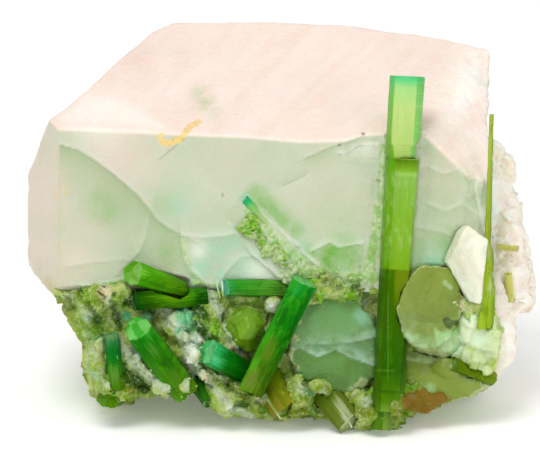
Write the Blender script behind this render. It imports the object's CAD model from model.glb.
import math
import random

import bmesh
import bpy
import numpy as np
from mathutils import Matrix, Vector, kdtree, noise


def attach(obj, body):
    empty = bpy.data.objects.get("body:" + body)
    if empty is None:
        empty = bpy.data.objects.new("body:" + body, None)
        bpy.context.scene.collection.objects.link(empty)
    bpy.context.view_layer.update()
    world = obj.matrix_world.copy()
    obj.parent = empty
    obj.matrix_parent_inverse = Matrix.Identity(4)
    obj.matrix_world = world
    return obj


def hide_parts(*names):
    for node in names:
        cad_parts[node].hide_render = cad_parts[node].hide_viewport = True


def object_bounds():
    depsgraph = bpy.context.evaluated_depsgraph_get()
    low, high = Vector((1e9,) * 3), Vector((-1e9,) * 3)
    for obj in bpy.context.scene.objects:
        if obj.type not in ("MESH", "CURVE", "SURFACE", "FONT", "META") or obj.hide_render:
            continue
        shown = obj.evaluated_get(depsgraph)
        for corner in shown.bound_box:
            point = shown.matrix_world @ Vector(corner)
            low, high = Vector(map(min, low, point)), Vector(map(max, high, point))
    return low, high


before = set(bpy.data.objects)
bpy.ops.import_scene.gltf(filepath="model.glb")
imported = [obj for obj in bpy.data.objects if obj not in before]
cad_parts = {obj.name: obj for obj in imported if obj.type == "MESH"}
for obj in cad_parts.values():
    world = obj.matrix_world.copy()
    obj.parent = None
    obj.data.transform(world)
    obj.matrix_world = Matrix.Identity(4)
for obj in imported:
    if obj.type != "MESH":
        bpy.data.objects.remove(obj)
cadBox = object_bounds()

# The specimen's own axes, in millimetres: x to the right, y in from the big crystal's front face, z up that
# face. It leans back, so the world is these axes turned about x and set down.
mm = 0.001
lean = math.radians(15)
imageWidth = 540
pixel = 0.18  # millimetres on the front face to a pixel of the main view, 540 by 455
pixelOrigin = (282, 435)  # the pixel at x = 0, z = 0


def frontPlace():
    corners = [vertex.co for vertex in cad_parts["quartz_crystal"].data.vertices]
    return min(c.y * math.cos(lean) - c.z * math.sin(lean) for c in corners) / math.cos(lean)


noise.seed_set(1)  # or the flat breaks would be a little different in each run
toWorld = Matrix.Translation((0, frontPlace(), 0)) @ Matrix.Rotation(-lean, 4, "X") @ Matrix.Scale(mm, 4)
toSpecimen = toWorld.inverted()
floorward = np.array((0, math.sin(lean), -math.cos(lean)))  # straight down, in the specimen's axes


def flat(*marks):  # pixels of the main view as x and z on the front face
    return np.array([((px - pixelOrigin[0]) * pixel, (pixelOrigin[1] - py) * pixel) for px, py in marks])


def paint(shade):  # a colour as a screen shows it, 0 to 255; what a node puts out stays as it is
    if not isinstance(shade, tuple):
        return shade
    shares = [part / 255 for part in shade]
    return (*[s / 12.92 if s <= 0.04045 else ((s + 0.055) / 1.055) ** 2.4 for s in shares], 1.0)


# Nodes for the materials and the Geometry Nodes trees


def newNode(tree, kind, inputs=None, **settings):
    made = tree.nodes.new(kind)
    for name, value in settings.items():
        setattr(made, name, value)
    for name, value in (inputs or {}).items():
        socket = made.inputs[name]
        if isinstance(value, bpy.types.NodeSocket):
            tree.links.new(value, socket)
        else:
            socket.default_value = value
    return made


def calc(tree, operation, a, b=0.0, c=0.0, clamp=False):
    made = newNode(tree, "ShaderNodeMath", {0: a, 1: b, 2: c}, operation=operation, use_clamp=clamp)
    return made.outputs[0]


def times(tree, first, *others, clamp=False):
    for other in others:
        first = calc(tree, "MULTIPLY", first, other, clamp=clamp)
    return first


def timesPlus(tree, a, b, c):
    return calc(tree, "MULTIPLY_ADD", a, b, c)


def plus(tree, a, b):
    return calc(tree, "ADD", a, b)


def minus(tree, a, b):
    return calc(tree, "SUBTRACT", a, b)


def gap(tree, a, b):
    return calc(tree, "ABSOLUTE", minus(tree, a, b))


def ragged(tree, value, grain, amount, clamp=False):  # a value shaken by how far a grain is from its middle
    return calc(tree, "MULTIPLY_ADD", minus(tree, grain, 0.5), amount, value, clamp)


def vectorCalc(tree, operation, a, b=(0, 0, 0), scale=1.0):
    made = newNode(tree, "ShaderNodeVectorMath", {0: a, 1: b, 3: scale}, operation=operation)
    return made.outputs[1 if operation in ("DOT_PRODUCT", "LENGTH") else 0]


def combined(tree, x=0.0, y=0.0, z=0.0):
    return newNode(tree, "ShaderNodeCombineXYZ", {"X": x, "Y": y, "Z": z}).outputs[0]


def parted(tree, vector):
    return newNode(tree, "ShaderNodeSeparateXYZ", {0: vector}).outputs


def mixed(tree, share, a, b, way="MIX"):
    inputs = {0: share, 6: paint(a), 7: paint(b)}
    made = newNode(tree, "ShaderNodeMix", inputs, data_type="RGBA", blend_type=way, clamp_factor=True)
    return made.outputs[2]


def tinted(tree, colour, tone, *shares):  # lays a tone over a colour, as strongly as the shares' product
    return mixed(tree, times(tree, *shares), colour, tone)


def noisy(tree, place, scale, detail=3.0, roughness=0.55, distortion=0.0):
    inputs = {"Vector": place, "Scale": scale, "Detail": detail, "Roughness": roughness}
    return newNode(tree, "ShaderNodeTexNoise", {**inputs, "Distortion": distortion}).outputs["Fac"]


def between(tree, value, low, high, start=0.0, end=1.0):
    inputs = {0: value, 1: low, 2: high, 3: start, 4: end}
    return newNode(tree, "ShaderNodeMapRange", inputs, interpolation_type="SMOOTHSTEP").outputs[0]


def kept(tree, name, out="Fac"):  # a value kept on the mesh
    return newNode(tree, "ShaderNodeAttribute", attribute_name=name).outputs[out]


def ramp(tree, value, stops):
    made = newNode(tree, "ShaderNodeValToRGB", {0: value})
    band = made.color_ramp
    while len(band.elements) < len(stops):
        band.elements.new(0.5)
    for element, (place, colour) in zip(band.elements, stops):
        element.position = place
        element.color = paint(colour)
    return made.outputs[0]


def moved(tree, place, shift=(0, 0, 0), turn=(0, 0, 0), scale=(1, 1, 1)):
    inputs = {"Vector": place, "Location": shift, "Rotation": turn, "Scale": scale}
    return newNode(tree, "ShaderNodeMapping", inputs).outputs[0]


def specimenPlace(tree):  # the specimen's own axes, in millimetres, from Object coordinates
    here = newNode(tree, "ShaderNodeTexCoord").outputs["Object"]
    return moved(tree, here, toSpecimen.to_translation(), (lean, 0, 0), (1 / mm,) * 3)


def newTree(name, kind, inputs, outputs):
    tree = bpy.data.node_groups.new(name, kind)
    for way, sockets in (("OUTPUT", outputs), ("INPUT", inputs)):
        for socket, form in sockets:
            tree.interface.new_socket(socket, in_out=way, socket_type="NodeSocket" + form)
    return tree, tree.nodes.new("NodeGroupInput").outputs, tree.nodes.new("NodeGroupOutput").inputs


def veilsGroup():  # milky veils inside quartz, and the thin healed cracks between them
    sockets = (("Place", "Vector"), ("Size", "Float"), ("Warp", "Float"))
    group, given, out = newTree("veils", "ShaderNodeTree", sockets, (("Cloud", "Float"), ("Crack", "Float")))
    rate = calc(group, "DIVIDE", 1.0, given["Size"])
    cloud = noisy(group, given["Place"], rate, 5.0, 0.6, given["Warp"])
    fold = noisy(group, moved(group, given["Place"], (31, 7, 3)), rate, 2.0, 0.5, given["Warp"])
    group.links.new(between(group, cloud, 0.3, 0.7), out["Cloud"])
    group.links.new(between(group, gap(group, fold, 0.5), 0.0, 0.012, 1.0, 0.0), out["Crack"])
    return group


def striaeGroup():  # fine lines along a prism, told apart by where they are around it
    sockets = (("Around", "Vector"), ("Along", "Float"), ("Lines", "Float"))
    group, given, out = newTree("striae", "ShaderNodeTree", sockets, (("Height", "Float"), ("Tone", "Float")))
    ring = vectorCalc(group, "SCALE", given["Around"], scale=given["Lines"])
    drift = times(group, given["Along"], 0.06)
    place = vectorCalc(group, "ADD", ring, combined(group, drift, drift, drift))
    group.links.new(noisy(group, place, 1.0, 4.0, 0.65), out["Height"])
    group.links.new(noisy(group, place, 0.22, 2.0, 0.5), out["Tone"])
    return group


def glintsGroup():  # small flat breaks, each with its own tone, and the grain on them
    sockets = (("Place", "Vector"), ("Size", "Float"))
    group, given, out = newTree("glints", "ShaderNodeTree", sockets, (("Tone", "Float"), ("Height", "Float")))
    rate = calc(group, "DIVIDE", 1.0, given["Size"])
    inputs = {"Vector": given["Place"], "Scale": rate, "Randomness": 1.0}
    cells = newNode(group, "ShaderNodeTexVoronoi", inputs).outputs
    fine = noisy(group, given["Place"], times(group, rate, 3.0), 4.0, 0.6)
    group.links.new(newNode(group, "ShaderNodeSeparateColor", {0: cells["Color"]}).outputs[0], out["Tone"])
    group.links.new(timesPlus(group, cells["Distance"], 0.8, times(group, fine, 0.5)), out["Height"])
    return group


def useGroup(tree, group, inputs):
    return newNode(tree, "ShaderNodeGroup", inputs, node_tree=group).outputs


def newMaterial(name, **constants):
    made = bpy.data.materials.new(name)
    made.use_nodes = True
    shader = made.node_tree.nodes["Principled BSDF"]
    for socket, value in constants.items():
        shader.inputs[socket.replace("_", " ")].default_value = value
    return made, made.node_tree, shader.inputs


def absorbing(material, colour, density):  # what the depth of the crystal takes out of the light
    tree = material.node_tree
    volume = newNode(tree, "ShaderNodeVolumeAbsorption", {"Color": paint(colour), "Density": density})
    tree.links.new(volume.outputs[0], tree.nodes["Material Output"].inputs["Volume"])


def dress(tree, shader, colour, roughness, height, bump):  # bump: its strength, and its height in millimetres
    tree.links.new(colour, shader["Base Color"])
    if roughness:
        tree.links.new(roughness, shader["Roughness"])
    inputs = {"Height": height, "Strength": bump[0], "Distance": bump[1] * mm}
    tree.links.new(newNode(tree, "ShaderNodeBump", inputs).outputs[0], shader["Normal"])


veils = veilsGroup()
striae = striaeGroup()
glints = glintsGroup()


# Meshes


def nodeMesh(name):  # a CAD node's own surface, in specimen millimetres, with its loose triangles joined
    bm = bmesh.new()
    bm.from_mesh(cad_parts[name].data)
    bmesh.ops.remove_doubles(bm, verts=bm.verts, dist=1e-6)
    bm.transform(toSpecimen)
    return asMesh(bm)


def asMesh(bm):
    mesh = bpy.data.meshes.new("worked")
    bm.to_mesh(mesh)
    bm.free()
    return mesh


def fromMesh(mesh):
    bm = bmesh.new()
    bm.from_mesh(mesh)
    return bm


def joinedMesh(meshes):
    bm = bmesh.new()
    for mesh in meshes:
        bm.from_mesh(mesh)
    return asMesh(bm)


def evaluated(worked):
    graph = bpy.context.evaluated_depsgraph_get()
    mesh = bpy.data.meshes.new_from_object(worked.evaluated_get(graph))
    bpy.data.objects.remove(worked)
    return mesh


def onObject(mesh):
    worked = bpy.data.objects.new("worked", mesh)
    bpy.context.scene.collection.objects.link(worked)
    return worked


def remeshed(mesh, size):  # closed, in even faces about so many millimetres across
    worked = onObject(mesh)
    modifier = worked.modifiers.new("remesh", "REMESH")
    modifier.mode = "VOXEL"
    modifier.voxel_size = size
    return evaluated(worked)


def throughTree(mesh, tree, inputs):  # the plain mesh that a Geometry Nodes tree makes of this one
    worked = onObject(mesh)
    modifier = worked.modifiers.new(tree.name, "NODES")
    modifier.node_group = tree
    for item in tree.interface.items_tree:
        if item.in_out == "INPUT" and item.name in inputs:
            modifier[item.identifier] = inputs[item.name]
    return evaluated(worked)


def pointsOf(mesh):
    found = np.zeros(len(mesh.vertices) * 3, np.float32)
    mesh.vertices.foreach_get("co", found)
    return found.reshape(-1, 3).astype(float)


def normalsOf(mesh):
    found = np.zeros(len(mesh.vertices) * 3, np.float32)
    mesh.vertex_normals.foreach_get("vector", found)
    return found.reshape(-1, 3).astype(float)


def setPoints(mesh, points):
    mesh.vertices.foreach_set("co", points.astype(np.float32).ravel())
    mesh.update()


def keep(mesh, name, values):  # keeps a value on each point, for a material or a scatter to read
    attribute = mesh.attributes.get(name) or mesh.attributes.new(name, "FLOAT", "POINT")
    attribute.data.foreach_set("value", np.asarray(values, np.float32))


def fractal(points, size, octaves=3, shift=0.0):  # -1 to 1
    rate, apart = 1 / size, Vector((shift,) * 3)
    return np.array([noise.fractal(Vector(p) * rate + apart, 1.0, 2.0, octaves) for p in points])


def smooth(values, low, high):
    share = np.clip((values - low) / (high - low), 0, 1)
    return share * share * (3 - 2 * share)


def fromLine(places, line):  # distance from a line of points on the front, and 1 on the left of its run
    best = np.full(len(places), 1e9)
    side = np.zeros(len(places))
    for a, b in zip(line, line[1:]):
        run = b - a
        share = np.clip((places - a) @ run / (run @ run), 0, 1)
        off = places - a - share[:, None] * run
        distance = np.hypot(off[:, 0], off[:, 1])
        nearer = distance < best
        best[nearer] = distance[nearer]
        side[nearer] = np.sign(run[0] * off[:, 1] - run[1] * off[:, 0])[nearer]
    return best, side


def fromMark(points, px, py, radius):  # distance from a pixel of the main view, in radii of so many pixels
    across, up = flat((px, py))[0]
    return np.hypot(points[:, 0] - across, points[:, 2] - up) / (radius * pixel)


def blots(places, marks):  # soft round blots: px, py, radius in pixels, strength
    total = np.zeros(len(places))
    for px, py, radius, strength in marks:
        centre = flat((px, py))[0]
        distance = np.hypot(places[:, 0] - centre[0], places[:, 1] - centre[1])
        total = np.maximum(total, strength * np.exp(-((distance / (radius * pixel)) ** 2)))
    return total


def inside(places, outline):  # 1 inside an outline on the front, 0 outside
    hit = np.zeros(len(places), bool)
    for (ax, az), (bx, bz) in zip(outline, np.roll(outline, -1, 0)):
        if az != bz:
            level = (az > places[:, 1]) != (bz > places[:, 1])
            hit ^= level & (places[:, 0] < (bx - ax) * (places[:, 1] - az) / (bz - az) + ax)
    return hit.astype(float)


def alongLines(places, found, soft):  # how strongly lines of a half width and strength mark each point
    total = np.zeros(len(places))
    for line, half, strength in found:
        total = np.maximum(total, strength * smooth(fromLine(places, line)[0], half + soft, half * 0.5))
    return total


def patched(places, found, soft):  # how strongly outlined patches mark each point, fading over so many mm
    total = np.zeros(len(places))
    for outline, strength in found:
        edge = fromLine(places, np.vstack((outline, outline[:1])))[0]
        total = np.maximum(total, strength * inside(places, outline) * smooth(edge, 0, soft))
    return total


def ledgesOn(places, facing, found, lipReach):  # how ledges drop, darken and brighten a surface
    drops, shade, lip = (np.zeros(len(places)) for _ in range(3))
    for line, drop, reach, dim, bright in found:
        distance, side = fromLine(places, line)
        across = side * np.sign(drop) * distance
        low = smooth(across, -0.12, 0.2)
        fade = np.exp(-distance / reach)
        drops += abs(drop) * fade * low * facing
        shade = np.maximum(shade, dim * fade * low * facing)
        lip = np.maximum(lip, bright * np.exp(-distance / lipReach) * (1 - low) * facing)
    return drops, shade, lip


# Draws a surface forward to lap the sides of what stands in it: meshes, each with how far below its front
def banked(points, normals, standing, reach, most, least):
    tree = kdtree.KDTree(sum(len(mesh.vertices) for mesh, _ in standing))
    levels = []
    for mesh, below in standing:
        for point, normal in zip(pointsOf(mesh), normalsOf(mesh)):
            if normal[1] < -0.2:
                tree.insert((point[0], 0, point[2]), len(levels))
                levels.append(point[1] + below)
    tree.balance()
    found = [tree.find((point[0], 0, point[2])) for point in points]
    near = np.array([distance for _, _, distance in found])
    level = np.array([levels[number] for _, number, _ in found])
    amount = smooth(near, reach, reach * 0.2) * (near > least) * smooth(-normals[:, 1], -0.2, 0.5)
    shift = np.clip(points[:, 1] - level, 0, most) * amount
    return points - np.stack((np.zeros(len(points)), shift, np.zeros(len(points))), 1)


# How high each point stands on its own flat break, and that break's tone
def flatBreaks(points, size, height, tilt, seed):
    dice = np.random.default_rng(seed)
    low, high = points.min(0) - size, points.max(0) + size
    counts = np.ceil((high - low) / size).astype(int)
    grid = np.stack(np.meshgrid(*[np.arange(c) for c in counts], indexing="ij"), -1).reshape(-1, 3)
    centres = low + (grid + dice.random(grid.shape)) * size
    tilts = dice.normal(0, tilt, centres.shape)
    offsets = dice.uniform(-height, height, len(centres))
    tones = dice.random(len(centres))
    tree = kdtree.KDTree(len(centres))
    for number, centre in enumerate(centres):
        tree.insert(centre, number)
    tree.balance()
    warp = np.array([noise.noise_vector(Vector(p) * 0.9) for p in points]) * size * 0.22
    found = np.array([tree.find(p)[1] for p in points + warp])
    rise = offsets[found] + ((points - centres[found]) * tilts[found]).sum(1)
    return np.clip(rise, -1.4 * height, 1.4 * height), tones[found]


def nearTo(mesh, other, reach):  # 1 where a surface touches another, 0 from the reach outwards
    tree = kdtree.KDTree(len(other.vertices))
    for number, point in enumerate(pointsOf(other)):
        tree.insert(point, number)
    tree.balance()
    return smooth(np.array([tree.find(p)[2] for p in pointsOf(mesh)]), reach, reach * 0.4)


def addPiece(name, mesh, material, nodes, sharp=180):
    mesh.transform(toWorld)
    points = pointsOf(mesh)
    setPoints(mesh, np.clip(points, np.array(cadBox[0]), np.array(cadBox[1])))
    mesh.materials.clear()
    mesh.materials.append(material)
    mesh.shade_smooth()
    if sharp < 180:
        mesh.set_sharp_from_angle(angle=math.radians(sharp))
    piece = bpy.data.objects.new(name, mesh)
    bpy.context.scene.collection.objects.link(piece)
    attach(piece, "root")
    if nodes:
        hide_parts(*nodes)
    print(f"{name}: {sum(len(face.vertices) - 2 for face in mesh.polygons)} triangles")
    return piece


# The big quartz crystal

quartz = {
    "face": 0.58,  # of its mesh, in millimetres
    "waves": ((22.0, 0.28), (5.0, 0.07)),  # size and height of what makes its faces uneven
    "breakSize": 3.2,
    "breakHeight": 0.35,
    "brokenEnd": (31, 37),  # along x, from where to where it turns shattered
    "warmEnd": (-36, -44),  # and turns warmer
    "oliveDepth": (12, 4),  # how far in its olive blots fade out, and where they are full
    "edgeHeight": 53.7,  # of the edge between its front and top faces
    "edgeSpread": 3.5,
    "cornerOut": 2.0,  # how far its right-hand top corner is drawn out, and down
    "cornerDown": 1.2,
    "stemLap": (0.8, 1.7, 0.9),  # how far below the stem's front it laps up, from how far, and by how much
    "bump": (0.6, 0.4),
}
# Ledges across its front: the line, the drop on its left as it runs (on its right if negative), how far that
# reaches, how much the low side darkens, and how bright the lip is
ledges = (
    (flat((59, 144), (79, 150), (95, 160), (114, 174), (124.5, 183), (138, 195), (149, 208.5), (157, 220),
        (167, 227), (181, 235)), -0.35, 4.0, 0.8, 0.25),
    (flat((149, 220), (144.5, 238), (138, 254), (130, 262)), 0.2, 3.5, 0.5, 0.2),
    (flat((181, 235), (183, 251), (187, 267), (195, 274)), -0.2, 3.0, 0.45, 0.6),
    (flat((310, 156), (330, 147), (357, 138)), -0.25, 1.8, 0.55, 0.2),
    (flat((341, 154), (357, 156), (373, 158)), -0.2, 1.2, 0.3, 0.8),
    (flat((314, 250), (330, 242), (338, 247), (363.5, 243)), -0.2, 2.5, 0.35, 0.7),
    (flat((422, 121), (447, 130), (466, 141), (482, 157), (490, 171)), -0.35, 4.0, 0.55, 0.3),
    (flat((413, 226), (441, 232), (450, 236)), -0.15, 2.5, 0.35, 0.3),
    (flat((222, 281), (230, 268), (241, 257), (258, 256), (272, 266), (284, 281)), -0.2, 2.6, 0.25, 0.4),
    (flat((283, 186), (294, 181), (306, 175)), 0.1, 1.5, 0.3, 0.2),
    (flat((56, 140), (55.5, 180), (54, 230), (53, 268)), 0.15, 1.5, 0.3, 0.2),
    (flat((70, 266), (95, 262), (120, 260), (136, 262)), -0.1, 2.0, 0.3, 0.2),
    (flat((181, 236), (205, 237), (229, 235), (246, 228)), -0.1, 2.0, 0.3, 0.5),
    (flat((85, 90), (112, 92), (140, 97), (166, 94)), -0.1, 2.5, 0.0, 0.3),
    (flat((430, 168), (444, 174), (458, 169), (474, 182)), -0.15, 1.6, 0.35, 0.4),
    (flat((428, 204), (446, 211), (462, 204), (481, 216)), -0.12, 1.8, 0.3, 0.4),
    (flat((450, 138), (455, 160), (468, 186)), 0.12, 1.4, 0.3, 0.3),
    (flat((470, 66), (474, 90), (470, 120), (479, 150), (476, 190), (484, 230)), -0.3, 1.5, 0.2, 0.8),
)
# How far the front edge is lifted: pixels across, and pixels up
edgeLift = (
    (40, 63, 110, 156, 200, 250, 300, 345, 362, 385, 420), (5, 6.5, 4.5, 2.5, 0.7, -1.5, -6, -5, 0, 2, 0),
)
greenBlots = (
    (106, 207, 16, 0.55), (163, 202, 12, 0.2), (169, 256, 14, 0.55), (340, 258, 20, 1.5),
    (445, 243, 18, 0.5), (325, 268, 14, 0.5), (199, 94, 9, 0.35), (205, 102, 10, 0.4), (214, 112, 9, 0.25),
    (405, 250, 30, 0.4), (430, 190, 45, 0.15), (355, 266, 18, 0.6), (445, 205, 22, 0.2),
    (335, 225, 30, 0.2), (250, 225, 20, 0.15), (478, 200, 12, 0.4), (310, 252, 10, 0.7),
    (462, 175, 16, 0.25), (440, 265, 12, 0.4),
)
blushLines = (  # beside the vein
    (flat((256, 194), (264, 202), (274, 211), (284, 220), (294, 229)), 0.4, 0.6),
)
coolBlots = (
    (216, 253, 17, 0.6), (200, 268, 12, 0.9), (232, 243, 12, 0.6), (433, 261, 14, 0.9), (245, 198, 5, 1.0),
    (222, 275, 9, 0.9), (178, 205, 18, 0.35), (300, 252, 12, 0.4), (244, 266, 20, 0.5), (255, 258, 14, 0.3),
)
whiteBlots = (
    (258, 270, 14, 0.7), (466, 78, 24, 0.6), (450, 105, 14, 0.5), (368, 147, 10, 0.6), (100, 116, 26, 0.7),
    (345, 270, 10, 0.4), (198, 250, 10, 0.8), (485, 85, 12, 0.6), (470, 140, 12, 0.4), (455, 120, 12, 0.4),
    (483, 215, 8, 0.6), (484, 175, 7, 0.6),
)
warmBlots = (
    (120, 155, 40, 0.9), (230, 160, 40, 0.3), (320, 185, 40, 0.3), (75, 260, 28, 0.7), (350, 200, 26, 0.3),
    (92, 230, 26, 0.5), (43, 190, 40, 0.6), (320, 272, 14, 0.5), (360, 272, 12, 0.5), (165, 268, 14, 0.5),
    (445, 170, 30, 0.7), (40, 250, 30, 0.5),
)
duskBlots = (
    (135, 60, 24, 0.8), (108, 78, 12, 0.6), (175, 45, 22, 0.4), (92, 100, 8, 0.4), (440, 62, 20, 0.3),
    (400, 50, 16, 0.3),
)
oliveBlots = (
    (24, 200, 10, 0.8), (23, 240, 12, 1.0), (29, 270, 12, 1.0), (42, 290, 13, 0.9), (25, 220, 10, 0.9),
    (36, 150, 8, 0.4),
)
stainLines = (
    (flat((160, 136), (163, 143), (170, 143), (179, 140), (189, 128), (198, 122)), 1.0),
    (flat((63, 186), (64, 193)), 0.45),
    (flat((54, 194), (55, 199)), 0.4),
    (flat((53, 215), (53.5, 218)), 0.4),
)
fills = (  # where the front is level under what lies on it: the outline, the level, and how uneven it is
    (flat((230, 196), (246, 182), (276, 206), (328, 252), (322, 276), (290, 288), (250, 254), (224, 216)),
        0.15, 0.1),
    (flat((334, 160), (350, 141), (386, 139), (386, 166), (357, 167)), 0.12, 0.08),
    (flat((366, 142), (386, 139), (388, 126), (422, 126), (426, 200), (424, 292), (360, 292)), 0.0, 0.12),
)
whiteFacets = (  # crystal faces that catch the light: the outline and the strength
    (flat((48, 116), (62, 130), (120, 134), (186, 137), (156, 112), (132, 98), (108, 91), (85, 87)), 0.55),
    (flat((457, 63), (472, 57), (490, 53), (492, 77), (478, 110), (452, 120), (443, 100), (453, 83)), 0.7),
    (flat((341, 155), (358, 139), (383, 138), (378, 157), (357, 156)), 0.5),
)
ridgeLines = (  # the thin edge of the vein
    (flat((256, 209), (270, 221), (286, 235)), 0.02, 0.5),
    (flat((286, 235), (296, 245), (306, 254), (318, 265)), 0.25, 0.55),
)
frostPatches = (
    (flat((238, 199), (254, 206), (300, 248), (320, 264), (306, 277), (284, 275), (281, 256), (261, 241),
        (245, 229), (240, 214)), 0.75),
)
frontOnly = (  # below the top face
    (flat((336, 162), (341, 150), (356, 137), (386, 135), (386, 166), (357, 166)), 1.0),
)
crackLines = (  # the line, its half width and how dark it is
    (flat((178, 144), (160, 159)), 0.03, 0.3),
    (flat((362.6, 133.4), (363.4, 134.2)), 0.16, 1.0),
    (flat((339, 144.8), (339.6, 145.2)), 0.1, 0.8),
    (flat((377, 180), (379.5, 181)), 0.1, 0.7),
    (flat((283, 186), (306, 175)), 0.03, 0.25),
    (flat((181, 138.5), (183, 139.5)), 0.12, 0.7),
    (flat((222, 194), (223, 196)), 0.08, 0.5),
)
crustLines = (  # where fine crumbs grow: the line, half width, thickness of the growth
    (flat((290, 262), (300, 266), (318, 268)), 1.4, 0.6),
    (flat((381, 150), (377, 200), (373, 250), (369, 275)), 1.2, 0.2),
    (flat((200, 284), (222, 283), (260, 284), (290, 276)), 0.9, 0.8),
    (flat((290, 266), (320, 270), (345, 275), (372, 272)), 1.3, 1.0),
    (flat((58, 293), (80, 292), (100, 290), (126, 286)), 0.9, 2.2),
    (flat((398, 276), (410, 270), (440, 268), (454, 275)), 0.9, 1.0),
    (flat((158, 274), (180, 280), (203, 283)), 0.8, 0.9),
)
frostLines = (  # frosted, grainy growth: the line, half width in millimetres, strength
    (flat((383, 145), (381, 180), (378, 215)), 0.5, 0.75),
    (flat((379, 205), (375, 240), (371, 262), (368, 280)), 1.0, 0.9),
    (flat((290, 244), (304, 254), (316, 263)), 0.8, 0.5),
    (flat((290, 272), (320, 274), (345, 279), (372, 278)), 1.2, 1.0),
    (flat((160, 278), (182, 284), (205, 287), (240, 288), (290, 280)), 0.8, 0.9),
    (flat((60, 292), (100, 288), (125, 283)), 0.8, 0.9),
    (flat((183, 240), (186, 258), (192, 272), (204, 284)), 0.4, 0.6),
    (flat((405, 275), (420, 268), (440, 270)), 1.0, 0.7),
)
cornerBlot = (480, 62, 18, 1.6)  # the right-hand top corner, which is part of the top
shatteredBlot = (470, 100, 40, 0.8)
quartzTints = (  # what is laid over its colour, in this order
    ("olive", (190, 172, 112)), ("dusk", (236, 212, 198)), ("green", (108, 175, 54)),
    ("cool", (152, 212, 178)), ("shade", (146, 172, 118)), ("white", (255, 253, 243)),
    ("lip", (232, 236, 222)), ("frost", None), ("crack", (70, 66, 44)),
)


def frontShare(normals):  # 1 on what faces the front and top, 0 on the back and ends
    return smooth(normals @ np.array((0.0, -0.93, 0.36)), 0.0, 0.35)


def quartzMaterial():
    material, tree, shader = newMaterial(
        "milkyQuartz", Subsurface_Weight=0.25, Subsurface_Scale=0.004, IOR=1.54, Specular_IOR_Level=0.35
    )
    place = specimenPlace(tree)
    slant = moved(tree, moved(tree, place, turn=(0, 0.72, 0)), scale=(0.22, 0.06, 1))
    tall = moved(tree, place, scale=(1, 1, 0.5))
    cloud = useGroup(tree, veils, {"Place": place, "Size": 13.0, "Warp": 1.2})
    streaks = useGroup(tree, veils, {"Place": slant, "Size": 3.4, "Warp": 0.5})
    shatter = useGroup(tree, veils, {"Place": tall, "Size": 3.0, "Warp": 2.0})
    sugar = noisy(tree, place, 2.4, 3.0, 0.7)
    top, broken = kept(tree, "top"), kept(tree, "broken")
    colour = mixed(tree, kept(tree, "warm"), (186, 199, 170), (218, 203, 186))
    colour = mixed(tree, top, colour, (253, 232, 221))
    colour = tinted(tree, colour, (222, 218, 198), cloud["Cloud"], 0.22)
    colour = tinted(tree, colour, (238, 214, 198), streaks["Cloud"], timesPlus(tree, top, 0.5, 0.06))
    colour = tinted(tree, colour, (250, 250, 238), cloud["Crack"], timesPlus(tree, broken, 0.35, 0.04))
    colour = tinted(tree, colour, (252, 248, 238), shatter["Cloud"], broken, 0.35)
    colour = tinted(tree, colour, (255, 255, 248), shatter["Crack"], broken, 0.6)
    wander = minus(tree, noisy(tree, place, 0.35, 3.0, 0.6), 0.5)
    for name, shade in quartzTints:
        strength = kept(tree, name)
        if name in ("green", "cool", "olive", "dusk"):
            strength = times(tree, strength, timesPlus(tree, wander, 2.2, 0.9), clamp=True)
        if name == "frost":
            strength = times(tree, between(tree, ragged(tree, strength, sugar, 1.2), 0.1, 1.0), 0.85)
            clumps = between(tree, noisy(tree, place, 0.6, 5.0, 0.7), 0.42, 0.62)
            shade = mixed(tree, clumps, (136, 190, 76), (206, 222, 170))
        colour = mixed(tree, strength, colour, shade)
    fleck = noisy(tree, place, 1.3, 4.0, 0.7)
    stain = between(tree, ragged(tree, kept(tree, "stain"), fleck, 2.2), 0.2, 0.95)
    tan = mixed(tree, between(tree, fleck, 0.54, 0.7), (240, 206, 118), (196, 156, 76))
    colour = tinted(tree, colour, tan, stain, 0.85)
    rough = timesPlus(tree, broken, 0.25, timesPlus(tree, cloud["Cloud"], 0.15, 0.3))
    grain = useGroup(tree, glints, {"Place": place, "Size": 2.4})
    height = timesPlus(tree, times(tree, grain["Height"], broken), 0.9, noisy(tree, place, 1.1, 5.0, 0.6))
    height = timesPlus(tree, times(tree, sugar, kept(tree, "frost")), 1.5, height)
    dress(tree, shader, colour, rough, height, quartz["bump"])
    return material


def finerInFront(mesh):  # halves the faces of the front, where its ledges and marks are
    bm = fromMesh(mesh)
    front = [face for face in bm.faces if face.normal.y < -0.8 and face.calc_center_median().y < 3]
    edges = {edge for face in front for edge in face.edges}
    bmesh.ops.subdivide_edges(bm, edges=list(edges), cuts=1, use_grid_fill=True)
    bmesh.ops.triangulate(bm, faces=[face for face in bm.faces if len(face.verts) > 4])
    return asMesh(bm)


def reshaped(points):  # bends the front edge as it runs, and draws the right-hand top corner out
    px = points[:, 0] / pixel + pixelOrigin[0]
    near = np.exp(-(((points[:, 2] - quartz["edgeHeight"]) / quartz["edgeSpread"]) ** 2))
    near *= smooth(points[:, 1], 12, 6)
    corner = smooth(points[:, 0], 27, 37) * smooth(points[:, 2], 54, 70)
    out = points.copy()
    out[:, 0] += quartz["cornerOut"] * corner
    out[:, 2] += np.interp(px, *edgeLift) * pixel * near - quartz["cornerDown"] * corner
    return out


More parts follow.
